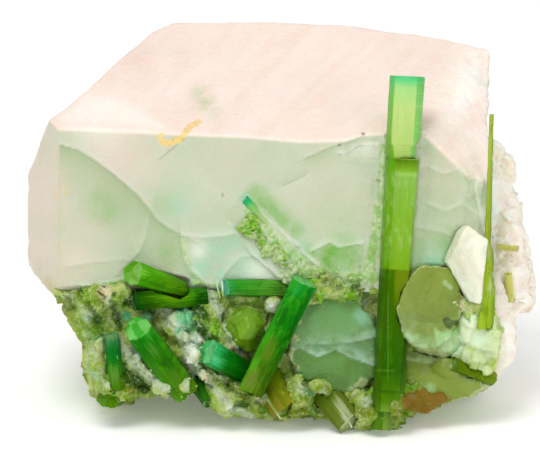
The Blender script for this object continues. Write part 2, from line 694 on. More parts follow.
def makeQuartz(stem):
    mesh = finerInFront(remeshed(nodeMesh("quartz_crystal"), quartz["face"]))
    setPoints(mesh, reshaped(pointsOf(mesh)))
    points, normals = pointsOf(mesh), normalsOf(mesh)
    places = points[:, [0, 2]]
    front = frontShare(normals)
    onFront = smooth(-normals[:, 1], 0.75, 0.95)
    broken = 1 - front + smooth(points[:, 0], *quartz["brokenEnd"]) * 0.8 + blots(places, [shatteredBlot])
    broken = np.clip(broken, 0, 1)
    rise = sum(height * fractal(points, size) for size, height in quartz["waves"])
    rise += broken * quartz["breakHeight"] * fractal(points, quartz["breakSize"], 4)
    drops, shade, lip = ledgesOn(places, onFront, ledges, 0.7)
    shift = (rise - drops)[:, None] * normals
    unfilled = 99.0
    level = np.full(len(points), unfilled)
    for outline, height, uneven in fills:
        flatter = height + uneven * fractal(points, 1.6, 3, 4.0)
        level = np.where(inside(places, outline) > 0, flatter, level)
    filled = (level < unfilled) & (points[:, 1] < 3.4) & (points[:, 1] > level)
    shift[:, 1] = np.where(filled, level - points[:, 1], shift[:, 1])
    clear = 1 - filled
    faced = np.maximum(onFront, filled)
    ridge = alongLines(places, ridgeLines, 0.3) * faced
    frost = np.maximum(alongLines(places, frostLines, 0.5), patched(places, frostPatches, 1.2)) * faced
    shift[:, 1] -= frost * 0.3 * (0.5 + fractal(points, 0.9, 3, 2.0)) + 0.3 * ridge
    facing = np.stack((normals[:, 0], np.where(filled, -1, normals[:, 1] * onFront), normals[:, 2]), 1)
    below, reach, most = quartz["stemLap"]
    setPoints(mesh, banked(points + shift, facing, [(stem, below)], reach, most, -1))
    top = np.clip(smooth(normals[:, 2], 0.1, 0.5) + blots(places, [cornerBlot]) * front, 0, 1)
    keep(mesh, "top", top * clear * (1 - patched(places, frontOnly, 0.4)))
    warmth = blots(places, warmBlots) + smooth(points[:, 0], *quartz["warmEnd"]) * 0.4
    keep(mesh, "warm", np.clip(warmth, 0, 1))
    blush = np.maximum(blots(places, greenBlots), alongLines(places, blushLines, 2.6))
    keep(mesh, "green", np.clip(blush * front, 0, 1))
    keep(mesh, "cool", blots(places, coolBlots) * front)
    keep(mesh, "olive", blots(places, oliveBlots) * smooth(points[:, 1], *quartz["oliveDepth"]))
    white = np.maximum(blots(places, whiteBlots) * 0.6, patched(places, whiteFacets, 2.6))
    keep(mesh, "white", white * np.maximum(front, filled))
    keep(mesh, "dusk", blots(places, duskBlots) * front)
    keep(mesh, "shade", shade * clear)
    keep(mesh, "lip", np.maximum(lip * (1 - 0.7 * filled), ridge * 0.8))
    keep(mesh, "frost", frost * (1 - ridge))
    keep(mesh, "crack", alongLines(places, crackLines, 0.22) * front)
    stains = [(line, 0.35, strength) for line, strength in stainLines]
    keep(mesh, "stain", alongLines(places, stains, 0.6) * front)
    keep(mesh, "broken", broken)
    keep(mesh, "crust", alongLines(places, crustLines, 0.3) * onFront)
    return mesh


# The tourmaline prisms

lines = {  # striations and growth rings, and how finely a prism is cut for them
    "around": 9.0,
    "depth": 0.16,
    "ringEvery": 0.5,
    "ringDepth": 0.03,
    "ringFace": 0.45,
    "sides": 48,
    "longSides": 72,  # of a prism longer than this many millimetres
    "long": 30,
    "grow": 0.14,
    "slim": 0.45,  # how much thinner the slim ones are
}
dark, yellowGreen, teal, olive = (10, 84, 4), (176, 222, 80), (30, 205, 125), (124, 142, 8)
# Each prism's foot and tip; how far its end is cut back and how much more its front; the end's colour; and
# its colours from foot to tip
prisms = {
    "main": ((18.8, -1.1, 4.3), (22.57, -1.0, 64.6), (0.0, 0.0), teal, (
        (0.0, (130, 170, 60)), (0.03, (90, 140, 10)), (0.12, (44, 100, 0)), (0.3, (60, 108, 0)),
        (0.422, (78, 120, 0)), (0.426, (136, 186, 30)), (0.62, (146, 198, 60)), (0.7, (150, 204, 84)),
        (0.708, (176, 220, 110)), (0.72, (140, 190, 40)), (0.74, (112, 160, 24)), (0.752, (84, 130, 10)),
        (0.756, (176, 212, 96)), (0.8, (204, 232, 132)), (0.9, (212, 240, 144)), (0.965, (186, 240, 150)),
        (0.985, (120, 232, 150)), (1.0, (84, 224, 150)))),
    "diagonal": ((-5.8, -1.6, 7.6), (4.4, -1.9, 28.6), (0.7, 0.3), (80, 200, 90), (
        (0.0, (96, 130, 10)), (0.25, (70, 126, 4)), (0.45, (14, 130, 2)), (0.8, (2, 140, 16)),
        (1.0, (20, 170, 50)))),
    "teal_stub": ((-5.4, 2.6, 10.0), (-14.4, -2.9, 15.6), (1.1, 0.35), (50, 200, 112), (
        (0.0, dark), (0.35, (0, 108, 4)), (0.58, (4, 140, 20)), (0.74, (40, 200, 110)),
        (1.0, (70, 220, 140)))),
    "bright_tip": ((-17.2, 1.6, 7.6), (-27.0, -3.0, 20.6), (1.6, 0.55), (90, 220, 70), (
        (0.0, (90, 136, 10)), (0.35, (70, 140, 10)), (0.7, (20, 128, 4)), (1.0, (24, 146, 20)))),
    "upper_left": ((-17.4, 1.6, 26.0), (-27.9, -2.6, 29.6), (1.2, 0.5), (112, 190, 16), (
        (0.0, (70, 118, 0)), (0.4, (90, 164, 0)), (0.8, (84, 186, 4)), (1.0, (100, 190, 10)))),
    "crossbar": ((-13.4, 1.2, 25.0), (-27.2, 0.6, 24.1), (0.4, 0.2), dark, (
        (0.0, (10, 60, 4)), (0.12, (16, 80, 0)), (0.3, (76, 150, 0)), (0.7, (88, 150, 0)), (0.9, dark),
        (1.0, dark))),
    "seam_bar": ((2.2, 1.9, 26.1), (-10.8, 0.4, 26.4), (0.5, 0.3), (90, 210, 180), (
        (0.0, (10, 76, 4)), (0.18, (116, 180, 60)), (0.5, (70, 156, 40)), (0.8, (30, 140, 30)),
        (0.94, (40, 166, 90)), (1.0, (130, 210, 170)))),
    "edge_prism": ((36.5, 0.2, 18.9), (37.75, 1.9, 57.8), (0.0, 0.0), yellowGreen, (
        (0.0, (176, 206, 50)), (0.3, (190, 214, 60)), (0.36, (170, 190, 40)), (1.0, (196, 214, 90)))),
    "left_upright": ((-29.9, 0.6, 8.0), (-30.7, -0.9, 18.6), (0.3, 0.1), (110, 170, 110), (
        (0.0, (90, 136, 10)), (0.3, (70, 144, 20)), (0.5, (0, 140, 20)), (0.7, (0, 134, 50)),
        (0.85, (70, 150, 90)), (1.0, (140, 176, 110)))),
    "left_foot": ((-29.9, 9.0, 7.4), (-31.2, 0.4, 6.6), (0.5, 0.0), (110, 160, 0), (
        (0.0, dark), (1.0, (100, 156, 0)))),
    "leaf": ((-16.2, 5.6, 11.0), (-12.4, 1.4, 5.6), (0.3, 0.0), (40, 110, 10), (
        (0.0, dark), (1.0, (50, 120, 12)))),
    "olive_foot": ((-3.9, 4.2, 12.4), (1.5, 0.9, 4.2), (0.3, 0.0), olive, (
        (0.0, dark), (0.4, (100, 124, 4)), (0.75, (150, 144, 24)), (1.0, (170, 152, 36)))),
    "dark_foot": ((4.6, 4.6, 11.0), (13.0, 0.7, 1.3), (0.8, 0.2), (200, 214, 150), (
        (0.0, dark), (0.35, (84, 106, 8)), (0.7, (112, 124, 36)), (1.0, (130, 130, 56)))),
    "right_band": ((38.0, 3.6, 9.7), (30.2, -0.5, 12.9), (0.3, 0.0), (110, 140, 10), (
        (0.0, (150, 172, 40)), (0.3, (130, 156, 10)), (1.0, (100, 130, 0)))),
    "vein": ((4.4, 1.5, 30.2), (-6.8, 0.2, 42.6), (0.2, 0.0), teal, (
        (0.0, (214, 224, 170)), (0.7, (206, 226, 160)), (0.88, (150, 220, 120)), (0.95, teal))),
    "side_sprig": ((41.4, 8.6, 23.6), (40.9, 6.8, 29.2), (0.3, 0.0), yellowGreen, (
        (0.0, (190, 200, 120)), (1.0, (200, 214, 120)))),
    "side_bar": ((39.0, 8.0, 33.7), (42.9, 6.2, 33.4), (0.2, 0.0), yellowGreen, (
        (0.0, (200, 214, 90)), (1.0, (222, 232, 130)))),
}
stemStrip = (  # the colours of the strip down the stem's left side
    (0.0, (80, 126, 10)), (0.04, (62, 106, 0)), (0.25, (62, 106, 0)), (0.42, (54, 98, 0)),
    (0.43, (100, 152, 0)), (0.6, (110, 172, 16)), (0.76, (104, 170, 24)), (0.84, (114, 190, 26)),
    (0.95, (96, 202, 56)), (1.0, (60, 206, 120)),
)
widthsAlong = {  # how far along, and the share of the CAD node's width there
    "edge_prism": ((0.0, 1.6), (0.2, 1.25), (0.36, 0.95), (0.4, 0.5), (1.0, 0.35)),
    "upper_left": ((0.0, 0.65), (0.35, 0.85), (0.7, 1.0), (1.0, 1.05)),
    "left_upright": ((0.0, 1.0), (0.6, 1.0), (0.85, 0.95), (1.0, 0.8)),
    "bright_tip": ((0.0, 1.05), (0.7, 1.05), (1.0, 0.92)),
}
stemRight = (  # height, and how far right of its middle the stem goes
    (49.85, 2.11), (52.3, 2.11), (53.4, 3.0), (64.6, 3.15),
)
straightOnes = ("main", "left_upright", "side_bar", "side_sprig", "vein", "seam_bar")
smoothOnes = ("olive_foot", "dark_foot", "left_foot", "leaf", "right_band", "left_upright", "edge_prism")
slimOnes = ("vein", "side_bar", "side_sprig")
patches = {  # soft patches of another colour inside each prism: px, py, radius in pixels, colour
    "dark_foot": ((342, 408, 7, (200, 210, 160)), (346, 419, 6, (212, 220, 180))),
    "diagonal": ((268, 348, 9, (112, 136, 36)), (252, 378, 9, (130, 142, 60)), (284, 316, 7, (4, 96, 16)),
        (298, 288, 6, (40, 176, 70)), (262, 372, 5, (60, 110, 10))),
    "bright_tip": ((147, 330, 6, (70, 180, 60)), (166, 362, 8, (20, 96, 6)), (153, 350, 6, (84, 150, 50)),
        (178, 380, 8, (84, 130, 30)), (170, 338, 6, (24, 110, 30))),
    "teal_stub": ((212, 357, 6, (110, 226, 160)), (232, 374, 7, (0, 92, 0)), (226, 356, 6, (4, 110, 20))),
    "seam_bar": ((238, 296, 5, (96, 156, 60)), (282, 289, 7, (10, 80, 4))),
    "crossbar": ((203, 300, 7, (12, 76, 4)), (150, 303, 8, (14, 76, 0)), (176, 296, 7, (110, 156, 10))),
    "upper_left": ((140, 270, 6, (140, 214, 60)), (158, 284, 8, (56, 130, 0)),
        (172, 284, 6, (90, 160, 10))),
    "edge_prism": ((488, 252, 5, (214, 226, 150)), (490, 288, 5, (214, 226, 160)),
        (486, 312, 6, (112, 150, 10))),
    "left_upright": ((114, 352, 8, (0, 120, 30)), (113, 328, 6, (130, 176, 120)),
        (114, 374, 6, (110, 160, 60))),
    "olive_foot": ((296, 410, 8, (176, 156, 40)), (284, 400, 6, (110, 126, 10))),
}
finish = {  # how strongly each kind shows its lit side, dark furrows, inner glow, fine lines and flecks
    "stem": {"shake": 0.003, "lit": 0.0, "furrow": 0.12, "glow": 0.2, "lines": 0.08, "flecks": 0.35},
    "smooth": {"shake": 0.06, "lit": 0.1, "furrow": 0.34, "glow": 0.15, "lines": 0.08, "flecks": 0.5},
    "striated": {"shake": 0.06, "lit": 0.35, "furrow": 0.34, "glow": 0.45, "lines": 0.2, "flecks": 0.5},
}
tourmaline = {
    "absorbs": (150, 228, 90),
    "density": 300.0,
    "lightFrom": (-0.62, -0.3, 0.72),  # the way its paler side faces
    "patchStretch": 0.5,
    "bump": (0.45, 0.25),
}
stem = {  # shares of its length, but the seam and the cross line in millimetres
    "head": (0.755, 0.765),
    "darkUpTo": 0.424,
    "milk": (0.43, 0.5),
    "seamAcross": 18.9,
    "seamHeight": 18.0,
    "crossHeight": 11.5,
    "notch": (49.9, 53),  # heights between which its neck is brought level with its head
    "headSpan": (55, 61),
}


def stemColours(tree, colour, place, along, leftward, shaken):  # what only the tall stem shows
    head = between(tree, along, *stem["head"])
    colour = tinted(tree, colour, (80, 204, 90), between(tree, leftward, 0.5, 0.6), head, 0.65)
    rings = noisy(tree, moved(tree, place, scale=(0.12, 0.12, 2.6)), 1.0, 3.0, 0.6)
    colour = tinted(tree, colour, (226, 240, 170), between(tree, rings, 0.5, 0.62), times(tree, head, 0.2))
    side = plus(tree, leftward, between(tree, along, 0.7, 0.82, 0.0, 0.22))
    side = times(tree, between(tree, side, -0.36, -0.44), 0.85)
    colour = mixed(tree, side, colour, ramp(tree, shaken, stemStrip))
    milk = times(tree, between(tree, along, *stem["milk"]), between(tree, along, 0.76, 0.72, 0.0, 0.4))
    cloud = noisy(tree, moved(tree, place, scale=(1, 1, 0.4)), 0.8, 5.0, 0.7)
    colour = tinted(tree, colour, (196, 222, 130), between(tree, cloud, 0.46, 0.64), milk)
    notches = noisy(tree, moved(tree, place, scale=(0.3, 0.3, 1.4)), 1.0, 3.0, 0.7)
    below = times(tree, side, between(tree, along, 0.76, 0.7))
    colour = tinted(tree, colour, (60, 120, 0), between(tree, notches, 0.6, 0.68), below, 0.6)
    low = between(tree, along, stem["darkUpTo"], stem["darkUpTo"] - 0.002)
    right = between(tree, leftward, -0.1, 0.1)
    colour = tinted(tree, colour, (132, 152, 20), right, low, between(tree, along, 0.28, 0.4), 0.7)
    parts = parted(tree, place)
    dots = noisy(tree, place, 1.9, 2.0, 0.7)
    seam = between(tree, gap(tree, parts["X"], timesPlus(tree, dots, 0.2, stem["seamAcross"])), 0.14, 0.02)
    high = between(tree, gap(tree, parts["Z"], stem["seamHeight"]), 9.0, 6.0)
    dotted = between(tree, dots, 0.3, 0.6, 0.35, 1.0)
    colour = tinted(tree, colour, (170, 200, 110), seam, dotted, high, 0.3)
    cross = between(tree, gap(tree, parts["Z"], timesPlus(tree, dots, 0.5, stem["crossHeight"])), 0.3, 0.08)
    return tinted(tree, colour, (130, 170, 60), cross, between(tree, leftward, 0.4, 0.2), 0.25)


def patchColours(tree, colour, place, grain, name):  # soft patches of colour in a prism, drawn out along it
    foot, tip = Vector(prisms[name][0]), Vector(prisms[name][1])
    way = Vector((tip.x - foot.x, 0, tip.z - foot.z)).normalized()
    for px, py, radius, tone in patches.get(name, ()):
        across, up = flat((px, py))[0]
        middle = vectorCalc(tree, "SUBTRACT", place, (across, 0, up))
        run = vectorCalc(tree, "DOT_PRODUCT", middle, tuple(way * tourmaline["patchStretch"]))
        wide = vectorCalc(tree, "DOT_PRODUCT", middle, (-way.z, 0, way.x))
        distance = ragged(tree, vectorCalc(tree, "LENGTH", combined(tree, run, wide)), grain, 4.0)
        reach = radius * pixel
        colour = mixed(tree, between(tree, distance, reach, reach * 0.2, 0.0, 0.7), colour, tone)
    return colour


def tourmalineMaterial(name, end, stops):
    kind = finish["stem" if name == "main" else "smooth" if name in smoothOnes else "striated"]
    material, tree, shader = newMaterial(
        "tourmaline_" + name, Transmission_Weight=0.25, IOR=1.62, Specular_IOR_Level=0.12,
        Specular_Tint=paint((110, 210, 60)), Roughness=0.16,
    )
    absorbing(material, tourmaline["absorbs"], tourmaline["density"])
    along, run, around = kept(tree, "along"), kept(tree, "run"), kept(tree, "around", "Vector")
    place = specimenPlace(tree)
    fine, broad, patch = (
        useGroup(tree, striae, {"Around": around, "Along": run, "Lines": count}) for count in (26.0, 7.0, 3.4)
    )
    shaken = ragged(tree, along, fine["Tone"], kind["shake"])
    colour = ramp(tree, shaken, stops)
    if name == "main":
        colour = stemColours(tree, colour, place, along, parted(tree, around)["X"], shaken)
    else:
        facing = newNode(tree, "ShaderNodeNewGeometry").outputs["True Normal"]
        lit = vectorCalc(tree, "DOT_PRODUCT", facing, tourmaline["lightFrom"])
        away = mixed(tree, 1.0, colour, (120, 160, 80), "MULTIPLY")
        colour = mixed(tree, between(tree, lit, 0.5, -0.35, 0.0, 0.6), colour, away)
        colour = mixed(tree, between(tree, lit, 0.5, 0.95, 0.0, kind["lit"]), colour, (90, 210, 50))
    dimmed = mixed(tree, 1.0, colour, (110, 160, 60), "MULTIPLY")
    furrow = timesPlus(tree, broad["Height"], 0.4, times(tree, patch["Height"], 0.6))
    colour = mixed(tree, between(tree, furrow, 0.5, 0.38, 0.0, kind["furrow"]), colour, dimmed)
    cloud = noisy(tree, place, 0.3, 3.0, 0.6)
    inner = timesPlus(tree, patch["Height"], 0.5, times(tree, cloud, 0.5))
    glow = mixed(tree, 0.5, colour, (110, 220, 30))
    colour = mixed(tree, between(tree, inner, 0.5, 0.62, 0.0, kind["glow"]), colour, glow)
    colour = tinted(tree, colour, (110, 206, 50), between(tree, fine["Height"], 0.58, 0.75), kind["lines"])
    colour = patchColours(tree, colour, place, broad["Height"], name)
    facet = newNode(tree, "ShaderNodeTexVoronoi", {"Vector": place, "Scale": 0.45}).outputs["Color"]
    facet = between(tree, newNode(tree, "ShaderNodeSeparateColor", {0: facet}).outputs[0], 0.2, 0.8)
    face = mixed(tree, facet, mixed(tree, 0.3, end, (20, 120, 10)), mixed(tree, 0.2, end, (235, 255, 200)))
    uneven = between(tree, noisy(tree, place, 0.8, 4.0, 0.6), 0.5, 0.7, 0.0, 0.4)
    face = mixed(tree, uneven, face, mixed(tree, 0.5, end, (20, 140, 20)))
    colour = tinted(tree, colour, face, kept(tree, "cap"), 0.9)
    fleck = between(tree, noisy(tree, place, 2.6, 3.0, 0.75), 0.69, 0.75)
    colour = tinted(tree, colour, (216, 236, 190), fleck, kind["flecks"])
    height = timesPlus(tree, patch["Height"], 1.2, fine["Height"])
    dress(tree, shader, colour, None, height, tourmaline["bump"])
    return material


def striationTree():
    sockets = [("Geometry", "Geometry"), ("Foot", "Vector"), ("Along", "Vector"), ("Material", "Material")]
    sockets += [
        (name, "Float") for name in (
            "Length", "Lines", "Depth", "Ring Every", "Ring Depth", "Grow", "Warp", "Chips", "Rough Ends",
            "Cut Back", "Cut Tilt", "Slim", "Seed",
        )
    ]
    tree, given, out = newTree("striations", "GeometryNodeTree", sockets, [("Geometry", "Geometry")])
    place = newNode(tree, "GeometryNodeInputPosition").outputs[0]
    fromFoot = vectorCalc(tree, "SUBTRACT", place, given["Foot"])
    run = vectorCalc(tree, "DOT_PRODUCT", fromFoot, given["Along"])
    outward = vectorCalc(tree, "SUBTRACT", fromFoot, vectorCalc(tree, "SCALE", given["Along"], scale=run))
    around = vectorCalc(tree, "NORMALIZE", outward)
    seed = combined(tree, given["Seed"], 0.0, times(tree, run, 0.05))
    ring = vectorCalc(tree, "SCALE", around, scale=given["Lines"])
    grooves = noisy(tree, vectorCalc(tree, "ADD", ring, seed), 1.0, 2.0, 0.6)
    rise = times(tree, minus(tree, grooves, 0.5), given["Depth"])
    steps = calc(tree, "DIVIDE", run, given["Ring Every"])
    ringPlace = vectorCalc(tree, "SCALE", around, scale=0.7)
    ringPlace = vectorCalc(tree, "ADD", ringPlace, combined(tree, z=steps))
    rings = times(tree, minus(tree, noisy(tree, ringPlace, 1.0, 1.0, 0.5), 0.5), given["Ring Depth"])
    here = vectorCalc(tree, "ADD", place, combined(tree, given["Seed"], given["Seed"]))
    swell = times(tree, minus(tree, noisy(tree, here, 0.22, 2.0, 0.5), 0.5), given["Warp"])
    chip = calc(tree, "MAXIMUM", minus(tree, noisy(tree, here, 0.45, 4.0, 0.6), 0.56), 0.0)
    rise = minus(tree, plus(tree, rise, swell), times(tree, chip, given["Chips"]))
    rise = plus(tree, plus(tree, rise, rings), given["Grow"])
    shift = vectorCalc(tree, "SCALE", around, scale=rise)
    share = calc(tree, "DIVIDE", run, given["Length"])
    beyond = minus(tree, share, 0.5)
    ending = between(tree, calc(tree, "ABSOLUTE", beyond), 0.44, 0.5)
    rough = times(tree, minus(tree, noisy(tree, here, 0.7, 3.0, 0.6), 0.55), given["Rough Ends"])
    rough = times(tree, rough, times(tree, ending, calc(tree, "SIGN", beyond)))
    limit = timesPlus(tree, parted(tree, outward)["Y"], given["Cut Tilt"], given["Length"])
    over = calc(tree, "MAXIMUM", minus(tree, run, minus(tree, limit, given["Cut Back"])), 0.0)
    lengthways = vectorCalc(tree, "SCALE", given["Along"], scale=minus(tree, rough, over))
    shift = vectorCalc(tree, "ADD", shift, lengthways)
    slimmer = vectorCalc(tree, "SCALE", outward, scale=times(tree, given["Slim"], -1.0))
    shift = vectorCalc(tree, "ADD", shift, slimmer)
    geometry = given["Geometry"]
    cap = between(tree, over, 0.02, 0.25)
    for name, value in (("along", share), ("run", run), ("around", around), ("cap", cap)):
        kind = "FLOAT_VECTOR" if name == "around" else "FLOAT"
        inputs = {"Geometry": geometry, "Name": name, "Value": value}
        geometry = newNode(tree, "GeometryNodeStoreNamedAttribute", inputs, data_type=kind).outputs[0]
    geometry = newNode(tree, "GeometryNodeSetPosition", {"Geometry": geometry, "Offset": shift}).outputs[0]
    finishTree(tree, geometry, given, out)
    return tree


def finishTree(tree, geometry, given, out):
    real = newNode(tree, "GeometryNodeRealizeInstances", {"Geometry": geometry}).outputs[0]
    inputs = {"Geometry": real, "Material": given["Material"]}
    tree.links.new(newNode(tree, "GeometryNodeSetMaterial", inputs).outputs[0], out["Geometry"])


# Cuts a prism's surface lengthwise and across, without changing its shape
def sliced(mesh, foot, tip, sides, ringFace):
    bm = fromMesh(mesh)
    along = (tip - foot).normalized()
    side = along.cross(Vector((0, 1, 0))).normalized()
    cuts = []
    for k in range(sides // 2):
        cuts.append((foot, Matrix.Rotation(2 * math.pi * (k + 0.37) / sides, 3, along) @ side))
    for k in range(-4, int((tip - foot).length / ringFace) + 6):
        cuts.append((foot + along * (k + 0.13) * ringFace, along))
    for point, normal in cuts:
        geometry = bm.verts[:] + bm.edges[:] + bm.faces[:]
        bmesh.ops.bisect_plane(bm, geom=geometry, dist=1e-4, plane_co=point, plane_no=normal)
    return asMesh(bm)


def waisted(mesh, foot, tip, widths):  # widens and narrows a prism along its run
    along = (tip - foot).normalized()
    fromFoot = pointsOf(mesh) - np.array(foot)
    run = fromFoot @ np.array(along)
    outward = fromFoot - run[:, None] * np.array(along)
    wide = np.interp(run / (tip - foot).length, *zip(*widths))
    setPoints(mesh, np.array(foot) + run[:, None] * np.array(along) + outward * wide[:, None])
    return mesh


def notched(mesh, foot, tip):  # brings the stem's neck level with its head, and cuts the notch on its right
    points, normals = pointsOf(mesh), normalsOf(mesh)
    across = points[:, 0] - np.interp(points[:, 2], (foot[2], tip[2]), (foot[0], tip[0]))
    height = points[:, 2]
    facing = normals[:, 1] < -0.2
    low, high = stem["headSpan"]
    head = facing & (height > low) & (height < high)
    order = np.argsort(across[head])
    level = np.interp(across, across[head][order], points[head, 1][order])
    low, high = stem["notch"]
    neck = facing & (height > low) & (height < high)
    points[:, 1] = np.where(neck, np.minimum(points[:, 1], level), points[:, 1])
    points[:, 0] -= np.maximum(across - np.interp(height, *zip(*stemRight)), 0) * (height > low)
    setPoints(mesh, points)
    return mesh


def makePrism(name, foot, tip, end, material, seed):
    foot, tip = Vector(foot), Vector(tip)
    length = (tip - foot).length
    sides = lines["longSides"] if length > lines["long"] else lines["sides"]
    mesh = sliced(nodeMesh("tourmaline_" + name), foot, tip, sides, lines["ringFace"])
    inputs = {
        "Foot": tuple(foot), "Along": tuple((tip - foot).normalized()), "Length": length,
        "Lines": lines["around"], "Depth": lines["depth"], "Ring Every": lines["ringEvery"],
        "Ring Depth": lines["ringDepth"], "Grow": lines["grow"],
        "Warp": 0.2 if name in straightOnes else 0.7, "Chips": 0.4 if name in ("main", "vein") else 3.0,
        "Rough Ends": 0.3 if name == "main" else 2.0, "Cut Back": end[0], "Cut Tilt": end[1],
        "Slim": lines["slim"] if name in slimOnes else 0.0, "Seed": float(seed * 7), "Material": material,
    }
    mesh = throughTree(mesh, striations, inputs)
    if name in widthsAlong:
        mesh = waisted(mesh, foot, tip, widthsAlong[name])
    return notched(mesh, foot, tip) if name == "main" else mesh


# Glassy quartz between the prisms, and the pale grains at the right-hand end

glassy = {
    "face": 0.32,
    "waves": ((4.5, 0.3), (1.2, 0.06)),
    "grow": 0.25,
    "absorbs": (190, 225, 180),
    "density": 60.0,
    "bump": (0.5, 0.4),
}
windowLedges = (
    (flat((288, 352), (307, 345), (345, 343), (373, 338)), -0.3, 2.0, 0.6, 0.7),
    (flat((303, 350), (318, 357), (333, 351)), -0.2, 1.2, 0.2, 0.9),
    (flat((340, 352), (352, 358), (364, 362), (374, 366)), -0.25, 1.5, 0.3, 1.0),
    (flat((398, 318), (414, 320), (436, 324), (452, 318)), 0.15, 2.4, 0.5, 0.2),
    (flat((398, 322), (408, 338), (420, 349), (446, 352)), -0.3, 1.2, 0.3, 1.0),
    (flat((404, 360), (430, 364), (452, 360)), -0.15, 2.0, 0.3, 0.6),
    (flat((462, 306), (458, 322), (464, 345), (460, 360)), -0.3, 1.2, 0.5, 0.9),
    (flat((476, 300), (474, 325), (480, 348), (476, 372)), 0.12, 1.5, 0.4, 0.5),
    (flat((488, 318), (486, 340), (488, 360)), -0.12, 1.2, 0.3, 0.5),
    (flat((455, 350), (468, 346), (490, 352)), -0.25, 1.6, 0.7, 0.5),
)
glintLines = (
    (flat((246, 318), (248, 327)), 0.05, 0.6),
    (flat((452, 366), (461, 370), (470, 379)), 0.4, 0.7),
    (flat((466, 312), (470, 330), (469, 352)), 0.3, 0.5),
    (flat((456, 335), (462, 350), (474, 352), (490, 350)), 0.2, 0.6),
    (flat((444, 282), (450, 288)), 0.4, 0.6),
)
dimBlots = (
    (263, 326, 9, 0.3), (256, 340, 9, 0.6), (240, 300, 8, 0.2), (330, 385, 14, 0.3), (472, 372, 9, 0.5),
    (410, 290, 14, 0.2),
)
beadLines = (  # frosted lines on the windows: the line, half width, strength
    (flat((397, 322), (403, 336), (411, 345), (424, 352), (446, 356)), 0.35, 1.0),
    (flat((298, 312), (291, 330), (288, 350), (292, 366)), 0.5, 0.7),
    (flat((306, 384), (322, 396), (345, 394), (362, 380)), 0.4, 0.7),
)
mintPatches = (
    (flat((431, 318), (438, 326), (446, 331), (459, 322), (466, 340), (462, 358), (444, 358), (434, 346),
        (430, 332)), 1.5),
    (flat((408, 380), (432, 382), (442, 386), (438, 395), (424, 395)), 0.8),
)
holePatches = (
    (flat((440, 318), (446, 315), (453, 319), (459, 317), (460, 326), (453, 326), (450, 332), (446, 329),
        (441, 324)), 1.2),
)
holeBlots = (  # deep and dark
    (466, 311, 8, 1.0), (486, 320, 7, 0.7), (472, 368, 11, 0.8), (492, 364, 9, 0.8), (461, 324, 5, 0.7),
    (480, 314, 6, 0.6), (458, 352, 5, 0.5),
)
glowBlots = (
    (263, 325, 6, 0.6), (363, 316, 13, 0.8), (350, 300, 10, 0.4), (318, 350, 8, 0.5), (357, 356, 9, 0.6),
    (300, 330, 9, 0.2), (412, 338, 12, 0.8), (424, 344, 12, 0.8), (448, 338, 10, 1.3), (444, 350, 8, 1.0),
    (425, 357, 10, 0.5), (430, 388, 8, 0.9), (420, 386, 6, 0.7), (470, 322, 9, 0.8), (478, 338, 12, 1.0),
    (455, 335, 7, 0.6),
)
creaseBlots = ((450, 334, 16, 1.0),)  # where two lumps of one window meet
beadBlots = (
    (293, 338, 6, 1.0), (290, 350, 7, 1.0), (297, 322, 5, 0.9), (306, 303, 5, 0.9), (345, 296, 5, 0.8),
    (296, 368, 5, 0.8), (308, 388, 6, 0.9), (366, 385, 7, 1.0), (373, 360, 4, 0.6), (408, 388, 5, 0.7),
)


def glassyMaterial(name, low, high, lip, rimTone, transmission, hole):
    material, tree, shader = newMaterial(
        name, Transmission_Weight=transmission, IOR=1.54, Subsurface_Weight=0.3, Subsurface_Scale=0.003,
        Specular_IOR_Level=0.2,
    )
    absorbing(material, glassy["absorbs"], glassy["density"])
    place = specimenPlace(tree)
    cloud = useGroup(tree, veils, {"Place": place, "Size": 8.0, "Warp": 0.8})["Cloud"]
    fine = noisy(tree, place, 0.5, 4.0, 0.6)
    colour = mixed(tree, ragged(tree, cloud, kept(tree, "tone"), 0.9, clamp=True), low, high)
    shadow = mixed(tree, 1.0, low, (196, 206, 186), "MULTIPLY")
    colour = tinted(tree, colour, shadow, kept(tree, "shade"), between(tree, fine, 0.3, 0.6, 0.6, 1.0))
    glow = ragged(tree, kept(tree, "glow"), fine, 0.7)
    colour = mixed(tree, between(tree, glow, 0.2, 1.1, 0.0, 0.85), colour, lip)
    colour = mixed(tree, between(tree, ragged(tree, kept(tree, "hole"), fine, 1.2), 0.3, 0.8), colour, hole)
    bright = mixed(tree, 0.35, lip, (245, 250, 240))
    colour = tinted(tree, colour, bright, kept(tree, "lip"), between(tree, fine, 0.36, 0.6, 0.2, 0.8))
    frosty = between(tree, noisy(tree, place, 0.7, 4.0, 0.7), 0.45, 0.65)
    colour = tinted(tree, colour, (222, 234, 196), between(tree, glow, 0.9, 1.5), frosty, 0.6)
    sugar = noisy(tree, place, 2.0, 3.0, 0.7)
    dull, white = mixed(tree, 0.35, rimTone, low), mixed(tree, 0.35, rimTone, (240, 240, 215))
    bead = ragged(tree, kept(tree, "rim"), noisy(tree, place, 0.9, 4.0, 0.7), 1.6)
    bead = between(tree, bead, 0.3, 0.8)
    colour = mixed(tree, bead, colour, mixed(tree, between(tree, sugar, 0.42, 0.62), dull, white))
    height = timesPlus(tree, times(tree, bead, sugar), 1.2, fine)
    dress(tree, shader, colour, timesPlus(tree, cloud, 0.2, 0.2), height, glassy["bump"])
    return material


